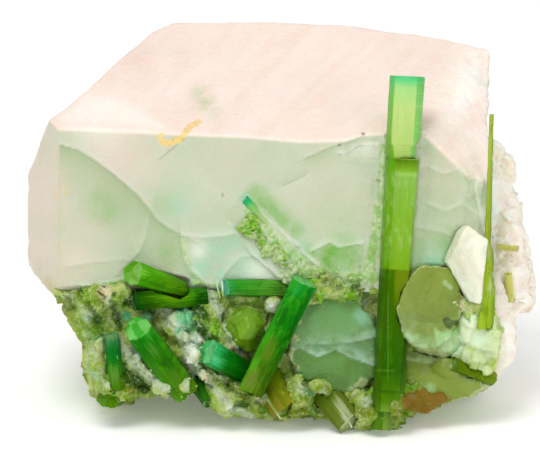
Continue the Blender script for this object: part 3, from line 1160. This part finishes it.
def paleMaterial(name, low, high, cracked):  # whitish quartz, more or less shattered
    material, tree, shader = newMaterial(
        name, Subsurface_Weight=0.4, Subsurface_Scale=0.004, IOR=1.54, Specular_IOR_Level=0.35
    )
    place = specimenPlace(tree)
    tall = moved(tree, place, turn=(0, 0.3, 0), scale=(1, 1, 0.45))
    cloud = useGroup(tree, veils, {"Place": place, "Size": 7.0, "Warp": 1.5})
    shatter = useGroup(tree, veils, {"Place": tall, "Size": 2.6, "Warp": 2.5})
    grain = useGroup(tree, glints, {"Place": tall, "Size": 1.8})
    colour = mixed(tree, cloud["Cloud"], low, high)
    facet = kept(tree, "tone")
    colour = tinted(tree, colour, (214, 212, 174), between(tree, facet, 0.6, 1.0), cracked * 0.6)
    colour = tinted(tree, colour, (240, 220, 206), between(tree, facet, 0.4, 0.0), cracked * 0.5)
    colour = tinted(tree, colour, (255, 255, 252), shatter["Crack"], cracked)
    height = timesPlus(tree, shatter["Cloud"], 0.6, grain["Height"])
    dress(tree, shader, colour, timesPlus(tree, grain["Tone"], 0.35, 0.3), height, (0.6, 0.3))
    return material


def makeGrain(mesh, face, waves, grow, rim=0.7, breaks=()):
    mesh = remeshed(mesh, face)
    points, normals = pointsOf(mesh), normalsOf(mesh)
    places = points[:, [0, 2]]
    rise = grow + sum(height * fractal(points, size, 3, 9.0) for size, height in waves)
    tone = np.full(len(points), 0.5)
    for size, height, tilt, seed in breaks:
        step, tone = flatBreaks(points, size, height, tilt, seed)
        rise += step
    drops, shade, lip = ledgesOn(places, smooth(-normals[:, 1], 0.5, 0.8), windowLedges, 1.5)
    edge = smooth(-normals[:, 1], 0.75, 0.3) * (1 - blots(places, creaseBlots))
    rise += edge * rim * fractal(points, 2.2, 3, 6.0)
    setPoints(mesh, points + normals * (rise - drops)[:, None])
    keep(mesh, "shade", np.maximum(shade, blots(places, dimBlots)))
    keep(mesh, "lip", np.maximum(lip, alongLines(places, glintLines, 0.16)))
    keep(mesh, "hole", np.maximum(blots(places, holeBlots), patched(places, holePatches, 0.5)))
    keep(mesh, "tone", tone)
    keep(mesh, "glow", np.maximum(blots(places, glowBlots), patched(places, mintPatches, 1.3)))
    frost = np.maximum(blots(places, beadBlots), alongLines(places, beadLines, 0.5))
    keep(mesh, "rim", np.maximum(edge, frost))
    return mesh


def lumpMesh(place, size, turn=0.0):  # a rounded lump, centred in specimen millimetres
    bm = bmesh.new()
    bmesh.ops.create_icosphere(bm, subdivisions=4, radius=1.0)
    bm.transform(Matrix.Translation(place) @ Matrix.Rotation(turn, 4, "Y") @ Matrix.Diagonal((*size, 1)))
    return asMesh(bm)


def withLumps(node, lumps):  # a CAD node's surface with lumps added to it
    return joinedMesh([nodeMesh(node)] + [lumpMesh(*lump) for lump in lumps])


# The crumbly matrix

crumble = {
    "grow": 0.55,
    "face": 0.48,
    "breaks": ((3.4, 0.55, 0.3, 11), (1.3, 0.2, 0.35, 12)),  # its flat breaks: size, height, tilt, seed
    "flakeWay": (0.5, 0.0, -0.86),  # which way the breaks are drawn out
    "flakeShare": 0.5,  # and how far their size shrinks that way
    "waves": ((7.0, 0.4), (0.8, 0.08)),
    "bankReach": 3.2,
    "bankRise": 3.0,
    "bankLeast": 0.35,
    "bump": (0.9, 0.45),
}
# Lumps that lap over the ends of the prisms: px, py, radius in pixels, how far forward in millimetres
mounds = (
    (184, 389, 9, -2.0), (150, 373, 6, -1.6), (166, 386, 6, -1.0), (248, 396, 11, -2.8),
    (134, 358, 5, -1.6), (112, 383, 4, -1.2), (94, 356, 7, -1.0), (194, 354, 8, -2.2), (184, 285, 7, -0.6),
    (398, 406, 9, -3.4), (370, 410, 9, -3.2), (208, 372, 8, -1.4), (318, 388, 8, -1.0), (372, 285, 7, -2.0),
    (228, 336, 9, -1.0), (211, 287, 5, -0.3), (216, 297, 5, -0.2), (268, 338, 8, -0.2), (64, 294, 5, -0.2),
    (77, 292, 6, -0.4), (91, 291, 5, -0.3), (104, 289, 6, -0.5), (118, 289, 5, -0.3), (275, 304, 7, -0.2),
    (457, 304, 5, -0.8), (427, 400, 11, -0.2), (412, 401, 9, -0.4), (440, 397, 8, 0.0), (170, 330, 9, -0.6),
    (140, 345, 8, -0.8), (186, 337, 6, -1.3), (178, 322, 6, -0.8), (196, 346, 6, -1.4),
)
# Where the matrix stands back from a prism: px, py, radius in pixels, how far back in millimetres
sinks = (
    (113, 330, 8, 0.4), (113, 343, 10, 0.4), (112, 357, 10, 0.6), (113, 370, 8, 0.8), (151, 345, 8, 0.6),
    (170, 372, 7, 1.5),
)
paleMarks = (
    (88, 316, 8, 0.8), (68, 296, 7, 0.5), (130, 352, 8, 0.8), (143, 368, 9, 0.9), (158, 380, 9, 0.9),
    (168, 388, 7, 0.8), (163, 305, 8, 0.9), (172, 320, 8, 0.9), (184, 335, 9, 1.0), (192, 350, 9, 0.9),
    (194, 368, 9, 0.8), (182, 378, 7, 0.4), (222, 285, 8, 1.0), (212, 296, 6, 0.9), (228, 318, 8, 0.7),
    (232, 340, 8, 0.8), (240, 352, 8, 0.9), (205, 372, 8, 0.6), (222, 398, 6, 0.6), (232, 410, 6, 0.5),
    (248, 420, 5, 0.5), (184, 328, 8, 0.5), (195, 345, 8, 1.3), (180, 325, 7, 1.0), (224, 395, 6, 0.3),
    (133, 365, 5, 0.6), (274, 306, 7, 1.0), (92, 350, 10, 0.25), (96, 372, 12, 0.35), (108, 384, 6, 0.6),
    (289, 270, 12, 0.7), (347, 273, 12, 0.8), (366, 280, 8, 0.8), (366, 303, 5, 0.8), (458, 305, 8, 1.0),
    (437, 330, 7, 1.0), (300, 388, 8, 0.6), (366, 402, 7, 0.7), (464, 380, 7, 0.6), (500, 350, 10, 1.0),
    (286, 262, 8, 0.8), (222, 375, 6, 0.7), (348, 424, 8, 0.8), (322, 392, 6, 0.5), (148, 290, 5, 0.4),
    (340, 412, 6, 0.7),
)
# Bands of pale and of dark stuff that run down and to the right: the line, half width in mm, strength
paleBands = (
    (flat((116, 338), (124, 352), (140, 368), (155, 382), (170, 391)), 0.7, 0.75),
    (flat((158, 300), (168, 314), (180, 332), (190, 352), (197, 370), (190, 384)), 1.0, 0.85),
    (flat((206, 282), (212, 300), (222, 314), (230, 332), (238, 350)), 0.7, 0.7),
    (flat((205, 378), (222, 397), (236, 409), (252, 420)), 0.5, 0.7),
    (flat((76, 302), (90, 318)), 0.4, 0.5),
    (flat((88, 330), (92, 350), (92, 372), (104, 386)), 1.0, 0.3),
    (flat((104, 283), (107, 300)), 0.6, 0.8),
    (flat((262, 350), (268, 340), (280, 318)), 0.5, 0.5),
)
darkBands = (
    (flat((128, 303), (150, 300), (185, 306), (203, 314)), 0.8, 0.9),
    (flat((118, 366), (128, 378), (146, 390)), 0.9, 0.9),
    (flat((196, 324), (205, 334), (214, 341)), 0.7, 0.7),
    (flat((226, 372), (242, 382), (262, 390)), 0.7, 0.7),
    (flat((112, 302), (119, 328)), 0.4, 0.6),
    (flat((172, 300), (186, 318), (200, 332)), 0.5, 0.5),
)
darkMarks = (
    (81, 291, 5, 0.7), (73, 306, 5, 0.6), (97, 321, 6, 0.7), (114, 294, 3, 0.8), (112, 307, 3, 0.6),
    (141, 296, 10, 1.0), (147, 308, 9, 0.9), (126, 376, 7, 0.6), (118, 366, 6, 0.6), (200, 309, 6, 0.8),
    (205, 314, 7, 0.8), (200, 326, 6, 0.6), (182, 366, 8, 0.6), (240, 365, 8, 0.8), (212, 385, 8, 0.4),
    (228, 388, 5, 0.6), (246, 403, 6, 0.5), (450, 322, 7, 1.0), (355, 287, 6, 0.7), (312, 300, 7, 0.5),
    (413, 268, 7, 0.9), (318, 400, 9, 0.5), (290, 300, 5, 0.7), (282, 302, 6, 0.6), (152, 312, 8, 0.7),
    (310, 290, 8, 0.4), (400, 378, 4, 0.4), (263, 377, 6, 0.5), (470, 365, 6, 0.5), (330, 282, 7, 0.5),
    (338, 286, 5, 0.5),
)
tealMarks = (
    (184, 318, 11, 0.7), (100, 338, 10, 0.35), (90, 372, 10, 0.3), (127, 316, 5, 0.9), (219, 285, 7, 0.7),
    (147, 318, 6, 0.6), (103, 340, 9, 0.4), (310, 393, 7, 0.4), (230, 292, 8, 0.6), (178, 330, 8, 0.5),
    (192, 330, 7, 0.5),
)
oliveMarks = (
    (117, 318, 5, 0.9), (156, 318, 8, 0.6), (244, 408, 8, 0.8), (294, 412, 8, 0.8), (130, 386, 10, 0.9),
    (138, 374, 6, 0.6), (205, 338, 8, 0.5), (255, 385, 12, 0.8), (245, 396, 8, 0.6), (268, 398, 12, 0.9),
    (76, 300, 10, 0.5), (100, 302, 6, 0.5), (470, 380, 8, 0.7), (136, 356, 5, 0.8), (232, 386, 6, 0.7),
    (85, 395, 8, 0.3), (300, 415, 10, 0.8), (355, 395, 8, 0.4), (480, 378, 6, 0.7), (398, 406, 11, 1.2),
    (330, 280, 9, 0.8), (306, 392, 10, 0.8), (322, 390, 9, 0.7), (366, 410, 10, 0.9), (374, 398, 7, 0.6),
    (292, 388, 8, 0.7),
)
creamMarks = (
    (105, 291, 7, 0.9), (101, 348, 5, 0.5), (232, 346, 6, 0.7), (240, 356, 5, 0.6), (207, 378, 6, 0.6),
    (458, 304, 6, 1.7), (330, 268, 8, 0.5), (172, 283, 7, 0.8), (75, 288, 6, 0.4), (352, 276, 8, 0.7),
)
chalkMarks = (  # the whitest crumbs
    (197, 338, 7, 1.0), (194, 349, 6, 0.9), (180, 326, 6, 0.8), (166, 306, 5, 0.7), (221, 281, 7, 0.9),
    (271, 307, 5, 0.8), (139, 354, 6, 0.6), (230, 410, 6, 0.6), (258, 401, 5, 0.6), (188, 361, 6, 0.7),
    (155, 378, 5, 0.5), (346, 424, 5, 0.6),
)
brownMarks = (
    (425, 402, 13, 1.6), (412, 402, 9, 1.5), (440, 397, 10, 1.5), (262, 414, 8, 0.2), (224, 396, 7, 0.3),
)
leafMarks = (
    (250, 226, 7, 1.4), (245, 230, 5, 1.2), (254, 215, 5, 0.8), (262, 230, 4, 1.3), (277, 238, 6, 1.3),
    (285, 246, 5, 1.2), (262, 242, 4, 0.8), (266, 252, 4, 0.6), (290, 257, 7, 1.1), (283, 262, 5, 0.9),
    (268, 340, 8, 0.9), (117, 322, 5, 0.4), (213, 328, 8, 0.8), (330, 278, 10, 0.8), (320, 296, 7, 0.8),
    (350, 296, 8, 0.8), (367, 377, 8, 0.9), (408, 387, 10, 1.0), (398, 404, 8, 0.4), (300, 372, 8, 0.6),
    (255, 385, 10, 0.4), (376, 284, 6, 0.7), (398, 388, 8, 1.0), (345, 385, 8, 0.7), (372, 395, 8, 0.8),
    (205, 340, 6, 0.5), (110, 396, 8, 0.7), (226, 330, 6, 0.5), (312, 280, 6, 0.7),
)
matrixMarks = {
    "pale": paleMarks, "dark": darkMarks, "teal": tealMarks, "brown": brownMarks, "leaf": leafMarks,
    "olive": oliveMarks, "cream": creamMarks, "chalk": chalkMarks,
}
matrixTints = (  # laid over its colour in this order
    ("leaf", (124, 188, 16)), ("olive", (120, 140, 6)), ("pale", (198, 215, 174)), ("cream", (222, 210, 164)),
    ("chalk", (242, 248, 230)), ("dark", (46, 92, 0)), ("brown", (142, 112, 36)), ("teal", (110, 206, 150)),
)
matrixStops = ((0.3, (92, 146, 4)), (0.42, (130, 168, 36)), (0.52, (160, 188, 80)), (0.64, (192, 210, 124)))


def matrixMasks(mesh):  # where the matrix and its crumbs are pale, dark, teal, brown or bright green
    points = pointsOf(mesh)
    places = points[:, [0, 2]]
    front = smooth(points[:, 1], 12, 5)
    bands = {"pale": paleBands, "dark": darkBands}
    for name, marks in matrixMarks.items():
        found = np.maximum(blots(places, marks), alongLines(places, bands.get(name, ()), 0.8))
        keep(mesh, name, found * front)
    return mesh


def matrixColour(tree, place, tone):  # the crumbly stuff's own colour, lighter and darker with the tone
    colour = ramp(tree, noisy(tree, place, 0.24, 3.0, 0.6, 0.5), matrixStops)
    fine = noisy(tree, place, 0.5, 5.0, 0.7)
    for name, shade in matrixTints:
        strength = between(tree, ragged(tree, kept(tree, name), fine, 1.4), 0.1, 0.7)
        colour = mixed(tree, strength, colour, shade)
    colour = tinted(tree, colour, (222, 232, 190), between(tree, tone, 0.6, 0.95), 0.25)
    return tinted(tree, colour, (66, 116, 4), between(tree, tone, 0.4, 0.05), 0.25)


def matrixMaterial():
    material, tree, shader = newMaterial(
        "crumblyMatrix", Subsurface_Weight=0.35, Subsurface_Scale=0.002, IOR=1.5, Specular_IOR_Level=0.12
    )
    place = specimenPlace(tree)
    grain = useGroup(tree, glints, {"Place": place, "Size": 0.9})
    tone = timesPlus(tree, grain["Tone"], 0.35, times(tree, kept(tree, "tone"), 0.65))
    colour = matrixColour(tree, place, tone)
    speck = noisy(tree, place, 1.5, 4.0, 0.75)
    bare = between(tree, kept(tree, "brown"), 0.6, 0.2)
    colour = tinted(tree, colour, (226, 234, 200), between(tree, speck, 0.51, 0.63, 0.0, 0.4), bare)
    colour = tinted(tree, colour, (92, 126, 10), between(tree, speck, 0.46, 0.36, 0.0, 0.22), bare)
    colour = tinted(tree, colour, (66, 112, 0), between(tree, kept(tree, "hollow"), 0.3, 1.0), 0.4)
    height = timesPlus(tree, speck, 1.2, grain["Height"])
    dress(tree, shader, colour, timesPlus(tree, grain["Tone"], -0.4, 0.75), height, crumble["bump"])
    return material


def makeMatrix(standing):
    mesh = nodeMesh("matrix")
    setPoints(mesh, pointsOf(mesh) + normalsOf(mesh) * crumble["grow"])
    mesh = remeshed(mesh, crumble["face"])
    points, normals = pointsOf(mesh), normalsOf(mesh)
    reach, rise, least = crumble["bankReach"], crumble["bankRise"], crumble["bankLeast"]
    points = banked(points, normals, standing, reach, rise, least)
    uneven = 1 + 0.5 * fractal(points, 2.5, 3, 8.0)
    for px, py, radius, forward in mounds:
        share = fromMark(points, px, py, radius) * uneven
        level = np.minimum(points[:, 1], forward + 1.6 * share * share)
        points[:, 1] = np.where((share < 1.25) & (normals[:, 1] < 0), level, points[:, 1])
    setPoints(mesh, points)
    mesh = remeshed(mesh, crumble["face"])
    points, normals = pointsOf(mesh), normalsOf(mesh)
    rise = sum(height * fractal(points, size, 3, 5.0) for size, height in crumble["waves"])
    tone = np.zeros(len(points))
    way = np.array(crumble["flakeWay"])
    drawn = points - (1 - crumble["flakeShare"]) * (points @ way)[:, None] * way
    for size, height, tilt, seed in crumble["breaks"]:
        step, shade = flatBreaks(drawn, size, height, tilt, seed)
        rise += step
        tone += shade / len(crumble["breaks"])
    down = normals @ floorward
    smoother = smooth(blots(points[:, [0, 2]], brownMarks), 0.3, 0.8)
    rise *= (1 - smooth(down, 0.8, 0.97)) * (1 - 0.8 * smoother)
    points += normals * rise[:, None]
    for px, py, radius, back in sinks:
        share = fromMark(points, px, py, radius)
        level = np.maximum(points[:, 1], back - 3.0 * np.maximum(share - 0.7, 0))
        points[:, 1] = np.where((share < 1.5) & (normals[:, 1] < 0), level, points[:, 1])
    setPoints(mesh, points)
    keep(mesh, "tone", tone)
    keep(mesh, "hollow", smooth(-rise, 0.1, 1.1))
    pale = blots(points[:, [0, 2]], paleMarks) * smooth(-normals[:, 1], 0.0, 0.4)
    keep(mesh, "crust", (1 - smooth(down, 0.3, 0.6)) * (0.12 + pale))
    return matrixMasks(mesh)


# Small crystals and crumbs scattered on a surface

# Thin pale crystals: from, to, how far forward, half width
needles = (
    ((263, 392), (281, 419), -2.2, 0.26),
    ((256, 398), (267, 394), -2.6, 0.14),
    ((298, 381), (303, 388), -1.8, 0.14),
    ((222, 281), (223, 296), -0.9, 0.2),
    ((217, 285), (220, 298), -0.9, 0.14),
    ((347, 417), (352, 428), -0.4, 0.22),
)


def needle(start, end, forward, half):
    (x1, z1), (x2, z2) = flat(start, end)
    a, b = Vector((x1, forward, z1)), Vector((x2, forward + 0.2, z2))
    bm = bmesh.new()
    sizes = {"radius1": half, "radius2": half * 0.7, "depth": (b - a).length}
    bmesh.ops.create_cone(bm, cap_ends=True, segments=6, **sizes)
    turn = (b - a).to_track_quat("Z", "Y").to_matrix().to_4x4()
    bm.transform(Matrix.Translation((a + b) / 2) @ turn)
    return matrixMasks(asMesh(bm))


def crumbMesh(seed):  # a crumb about 1 mm across that stands on its origin
    dice = random.Random(seed)
    bm = bmesh.new()
    bmesh.ops.create_icosphere(bm, subdivisions=1, radius=0.5)
    for vertex in bm.verts:
        vertex.co *= dice.uniform(0.65, 1.3)
        vertex.co.x *= 1.35
        vertex.co.z = vertex.co.z * 0.6 - 0.08
    return asMesh(bm)


def crumbCollection(count):
    home = bpy.data.collections.new("crumbForms")
    for seed in range(count):
        home.objects.link(bpy.data.objects.new(f"crumbForm{seed}", crumbMesh(seed)))
    return home


def scatterTree():
    sockets = (
        ("Geometry", "Geometry"), ("Forms", "Collection"), ("Density", "Float"), ("Smallest", "Float"),
        ("Largest", "Float"), ("Lean", "Float"), ("Seed", "Int"), ("Material", "Material"),
    )
    tree, given, out = newTree("scatter", "GeometryNodeTree", sockets, [("Geometry", "Geometry")])
    where = newNode(tree, "GeometryNodeInputNamedAttribute", {"Name": "crust"}, data_type="FLOAT").outputs[0]
    seed = given["Seed"]
    inputs = {"Mesh": given["Geometry"], "Density": times(tree, where, given["Density"]), "Seed": seed}
    spread = newNode(tree, "GeometryNodeDistributePointsOnFaces", inputs, distribute_method="RANDOM").outputs
    inputs = {"Collection": given["Forms"], "Separate Children": True, "Reset Children": True}
    forms = newNode(tree, "GeometryNodeCollectionInfo", inputs).outputs[0]
    negative = times(tree, given["Lean"], -1.0)
    low = combined(tree, negative, negative, 0.0)
    high = combined(tree, given["Lean"], given["Lean"], 6.283)
    inputs = {0: low, 1: high, "Seed": seed}
    shake = newNode(tree, "FunctionNodeRandomValue", inputs, data_type="FLOAT_VECTOR").outputs[0]
    inputs = {0: spread["Rotation"], 1: newNode(tree, "FunctionNodeEulerToRotation", {0: shake}).outputs[0]}
    turned = newNode(tree, "FunctionNodeRotateRotation", inputs, rotation_space="LOCAL").outputs[0]
    inputs = {2: given["Smallest"], 3: given["Largest"], "Seed": seed}
    size = newNode(tree, "FunctionNodeRandomValue", inputs, data_type="FLOAT").outputs[1]
    inputs = {"Points": spread["Points"], "Instance": forms, "Pick Instance": True, "Rotation": turned}
    placed = newNode(tree, "GeometryNodeInstanceOnPoints", {**inputs, "Scale": size}).outputs[0]
    finishTree(tree, placed, given, out)
    return tree


def crumbMaterial(name, lift, transmission=0.0, frosted=False):
    material, tree, shader = newMaterial(
        name, Transmission_Weight=transmission, IOR=1.55, Specular_IOR_Level=0.3, Roughness=0.35,
        Subsurface_Weight=0.2, Subsurface_Scale=0.001,
    )
    place = specimenPlace(tree)
    grain = useGroup(tree, glints, {"Place": place, "Size": 1.4})
    colour = matrixColour(tree, place, timesPlus(tree, grain["Tone"], 0.7, lift))
    if frosted:
        pale = minus(tree, noisy(tree, place, 0.6, 4.0, 0.7), times(tree, kept(tree, "leaf"), 0.5))
        colour = tinted(tree, colour, (196, 216, 160), between(tree, pale, 0.2, 0.45), 0.8)
    dress(tree, shader, colour, None, grain["Height"], (0.4, 0.2))
    return material


# Putting it together

striations = striationTree()
scatter = scatterTree()

prismMaterials, prismMeshes = {}, {}
for number, (name, (foot, tip, end, tone, stops)) in enumerate(prisms.items()):
    prismMaterials[name] = tourmalineMaterial(name, tone, stops)
    prismMeshes[name] = makePrism(name, foot, tip, end, prismMaterials[name], number + 1)
print(f"made {len(prismMeshes)} tourmaline prisms")
quartzMesh = makeQuartz(prismMeshes["main"])
print("made the big quartz crystal")

beads, mossy, veryPale = (184, 200, 124), (66, 92, 0), (150, 180, 20)
cool = glassyMaterial("glassyCool", (98, 140, 58), (112, 164, 92), (150, 208, 176), beads, 0.15, mossy)
oliveGlass = glassyMaterial(
    "glassyOlive", (122, 144, 34), (142, 164, 62), (168, 214, 140), beads, 0.15, mossy
)
pale = glassyMaterial(
    "glassyPale", (188, 214, 122), (216, 234, 176), (226, 244, 214), (190, 214, 104), 0.1, veryPale
)
leafy = glassyMaterial("glassyLeaf", (96, 146, 0), (132, 182, 20), (170, 204, 90), (130, 166, 30), 0.2, mossy)
windows = {  # the four glassy grains: material, lumps (middle, size), how rough the rim, flat breaks
    "centre": (cool, (), 0.7, ()),
    "right": (oliveGlass, (((29.6, 1.6, 17.4), (3.0, 2.2, 3.6)),), 0.7, ()),
    "lower": (oliveGlass, (((29.6, 1.4, 12.0), (2.8, 2.2, 1.8)),), 0.7, ()),
    "side": (
        pale, (((34.2, 1.8, 19.0), (3.4, 2.6, 4.6)), ((34.0, 1.6, 14.6), (3.5, 2.2, 2.6))), 0.3,
        ((3.2, 0.25, 0.2, 31),),
    ),
}
windowMeshes = {}
for name, (_, lumps, rim, breaks) in windows.items():
    lumpy = withLumps("quartz_window_" + name, lumps)
    windowMeshes[name] = makeGrain(lumpy, glassy["face"], glassy["waves"], glassy["grow"], rim, breaks)
grainMesh = makeGrain(nodeMesh("tourmaline_grain"), 0.3, ((2.5, 0.35), (0.9, 0.1)), 0.2)
print("made the glassy grains")

# How far below its front the matrix laps up each thing that stands in it
freeOnes = ("main", "vein", "edge_prism", "side_bar")
standing = [(mesh, 0.9) for name, mesh in prismMeshes.items() if name not in freeOnes]
standing += [(mesh, 0.3) for mesh in windowMeshes.values()] + [(grainMesh, 0.8), (quartzMesh, 0.25)]
matrixMesh = makeMatrix(standing)
print("made the crumbly matrix")

# Crumbs lie on the matrix, and lap over the edges of what stands in it
lapReach = 0.9
crumbs = crumbCollection(6)
paleCrumb, frostCrumb = crumbMaterial("paleCrumbs", 0.2), crumbMaterial("frostCrumbs", 0.5)
bareOnes = ("main", "edge_prism", "side_bar", "side_sprig", "left_upright")  # no crumbs lie on these
banks = [mesh.copy() for name, mesh in prismMeshes.items() if name not in bareOnes]
banks += [mesh.copy() for mesh in windowMeshes.values()] + [grainMesh.copy()]
for bank in banks:
    keep(bank, "crust", nearTo(bank, matrixMesh, lapReach))
bankMesh = joinedMesh(banks)
mainBank = prismMeshes["main"].copy()
keep(mainBank, "crust", nearTo(mainBank, matrixMesh, lapReach) * smooth(pointsOf(mainBank)[:, 2], 27, 24))
veinShift = Vector((0.3, -0.5, 0.3))
veinMesh = nodeMesh("vein_crust")
veinMesh.transform(Matrix.Translation(veinShift))
veinBreaks = ((1.7, 0.35, 0.3, 51), (0.8, 0.22, 0.4, 52))
veinMesh = makeGrain(veinMesh, 0.22, ((1.6, 0.25), (0.6, 0.1)), 0.1, 0.5, veinBreaks)
veinFront = smooth(-normalsOf(veinMesh)[:, 1], 0.2, 0.6)
keep(veinMesh, "crust", veinFront)
veinBlocks = veinMesh.copy()
keep(veinBlocks, "crust", blots(pointsOf(veinMesh)[:, [0, 2]], leafMarks) * veinFront)
greenCrumb = glassyMaterial("greenCrumbs", (112, 170, 20), (150, 200, 60), (190, 224, 110), beads, 0.2, mossy)
veinFrost = crumbMaterial("veinFrost", 0.35, 0.1, True)
heaps = (  # name, ground, how many to a square millimetre, smallest, largest, tilt, seed, material
    ("matrixCrumbs", matrixMesh, 1.0, 0.2, 0.5, 1.0, 3, paleCrumb),
    ("bankCrumbs", bankMesh, 0.7, 0.2, 0.55, 1.2, 13, paleCrumb),
    ("stemCrumbs", mainBank, 0.4, 0.2, 0.5, 1.2, 15, paleCrumb),
    ("fringeCrumbs", quartzMesh, 1.5, 0.15, 0.5, 1.2, 5, frostCrumb),
    ("veinCrumbs", veinMesh, 1.2, 0.2, 0.6, 1.2, 7, frostCrumb),
    ("veinCrystals", veinBlocks, 1.5, 0.5, 1.0, 1.2, 8, greenCrumb),
)
for name, ground, density, smallest, largest, tilt, seed, material in heaps:
    inputs = {
        "Forms": crumbs, "Density": density, "Smallest": smallest, "Largest": largest, "Lean": tilt,
        "Seed": seed, "Material": material,
    }
    heap = matrixMasks(throughTree(ground.copy(), scatter, inputs))
    addPiece(name, heap, material, [], 30)
print("scattered the crumbs")

needleMesh = joinedMesh([needle(*spot) for spot in needles])
addPiece("needles", needleMesh, frostCrumb, [], 30)
addPiece("quartzCrystal", quartzMesh, quartzMaterial(), ["quartz_crystal"])
addPiece("crumblyMatrix", matrixMesh, matrixMaterial(), ["matrix"], 38)
sideGreen = glassyMaterial(
    "sideGreen", (206, 210, 110), (226, 226, 150), (236, 240, 190), (240, 232, 200), 0.1, mossy
)
for name, mesh in prismMeshes.items():
    own = sideGreen if name in ("side_bar", "side_sprig") else prismMaterials[name]
    addPiece("prism_" + name, mesh, own, ["tourmaline_" + name], 35)
for name, mesh in windowMeshes.items():
    addPiece("window_" + name, mesh, windows[name][0], ["quartz_window_" + name])
addPiece("roundGrain", grainMesh, leafy, ["tourmaline_grain"])
addPiece("veinCrust", matrixMasks(veinMesh), veinFrost, ["vein_crust"])
sidePale = paleMaterial("shatteredQuartz", (244, 230, 214), (254, 249, 238), 0.7)
shardPale = paleMaterial("shardQuartz", (220, 220, 196), (238, 240, 218), 0.25)
sideLumps = (((37.6, 8.2, 19.0), (4.3, 5.0, 8.6), -0.12), ((41.0, 13.2, 30.0), (3.6, 5.0, 10.0), 0.0))
sideMesh = withLumps("quartz_side", sideLumps)
sideMesh = makeGrain(sideMesh, 0.42, ((6.0, 0.5), (1.5, 0.1)), 0.2, 0.3, ((3.2, 0.3, 0.2, 41),))
addPiece("sideQuartz", sideMesh, sidePale, ["quartz_side"], 40)
shardMesh = makeGrain(nodeMesh("quartz_shard"), 0.25, ((3.0, 0.12), (0.8, 0.03)), 0.15, 0.15)
addPiece("shard", shardMesh, shardPale, ["quartz_shard"], 40)

# Floor, light and camera

stage = {
    "floorSize": 6.0,
    "floorGlow": 0.14,
    "ambient": 0.6,
    "lamps": (  # name, place, size, power
        ("key", (-0.3, -0.45, 1.1), 0.6, 7.0), ("fill", (0.8, -0.8, 0.5), 0.8, 2.5),
    ),
    "aim": (0, 0, 0.03),
    "lens": 500.0,
    "sensor": 36,
    "cameraUp": math.radians(16.4),
    "centre": (270, 227.5),  # the pixel that the camera looks at
}


def addFloor():
    bpy.ops.mesh.primitive_plane_add(size=stage["floorSize"])
    floor = bpy.context.object
    floor.name = "floor"
    material, tree, shader = newMaterial("paleFloor", Roughness=0.8)
    here = newNode(tree, "ShaderNodeTexCoord").outputs["Object"]
    colour = mixed(tree, noisy(tree, here, 3.0), (252, 252, 251), (255, 255, 254))
    tree.links.new(colour, shader["Base Color"])
    shader["Emission Color"].default_value = (1, 1, 1, 1)
    shader["Emission Strength"].default_value = stage["floorGlow"]
    floor.data.materials.append(material)


def addLight(name, place, size, power):
    lamp = bpy.data.lights.new(name, "AREA")
    lamp.size = size
    lamp.energy = power
    made = bpy.data.objects.new(name, lamp)
    made.location = place
    made.rotation_euler = (Vector(stage["aim"]) - Vector(place)).to_track_quat("-Z", "Y").to_euler()
    bpy.context.scene.collection.objects.link(made)


def addWorld():
    world = bpy.data.worlds.new("softWhite")
    world.use_nodes = True
    tree = world.node_tree
    tree.nodes.clear()
    seen = newNode(tree, "ShaderNodeLightPath").outputs["Is Camera Ray"]
    soft, bright = (
        newNode(tree, "ShaderNodeBackground", {"Color": (1, 1, 1, 1), "Strength": strength}).outputs[0]
        for strength in (stage["ambient"], 1.0)
    )
    both = newNode(tree, "ShaderNodeMixShader", {0: seen, 1: soft, 2: bright}).outputs[0]
    tree.links.new(both, newNode(tree, "ShaderNodeOutputWorld").inputs["Surface"])
    bpy.context.scene.world = world


def addCamera():
    across, up = flat(stage["centre"])[0]
    away = imageWidth * pixel * mm / stage["sensor"] * stage["lens"]
    camera = bpy.data.cameras.new("camera")
    camera.lens = stage["lens"]
    camera.sensor_width = stage["sensor"]
    camera.clip_end = 20
    made = bpy.data.objects.new("camera", camera)
    back = Vector((0, -math.cos(stage["cameraUp"]), math.sin(stage["cameraUp"])))
    made.location = toWorld @ Vector((across, 0, up)) + back * away
    made.rotation_euler = (-back).to_track_quat("-Z", "Y").to_euler()
    bpy.context.scene.collection.objects.link(made)
    bpy.context.scene.camera = made


addFloor()
addWorld()
for lamp in stage["lamps"]:
    addLight(*lamp)
addCamera()
bpy.context.scene.view_settings.view_transform = "Standard"
print("set the floor, the lights and the camera")
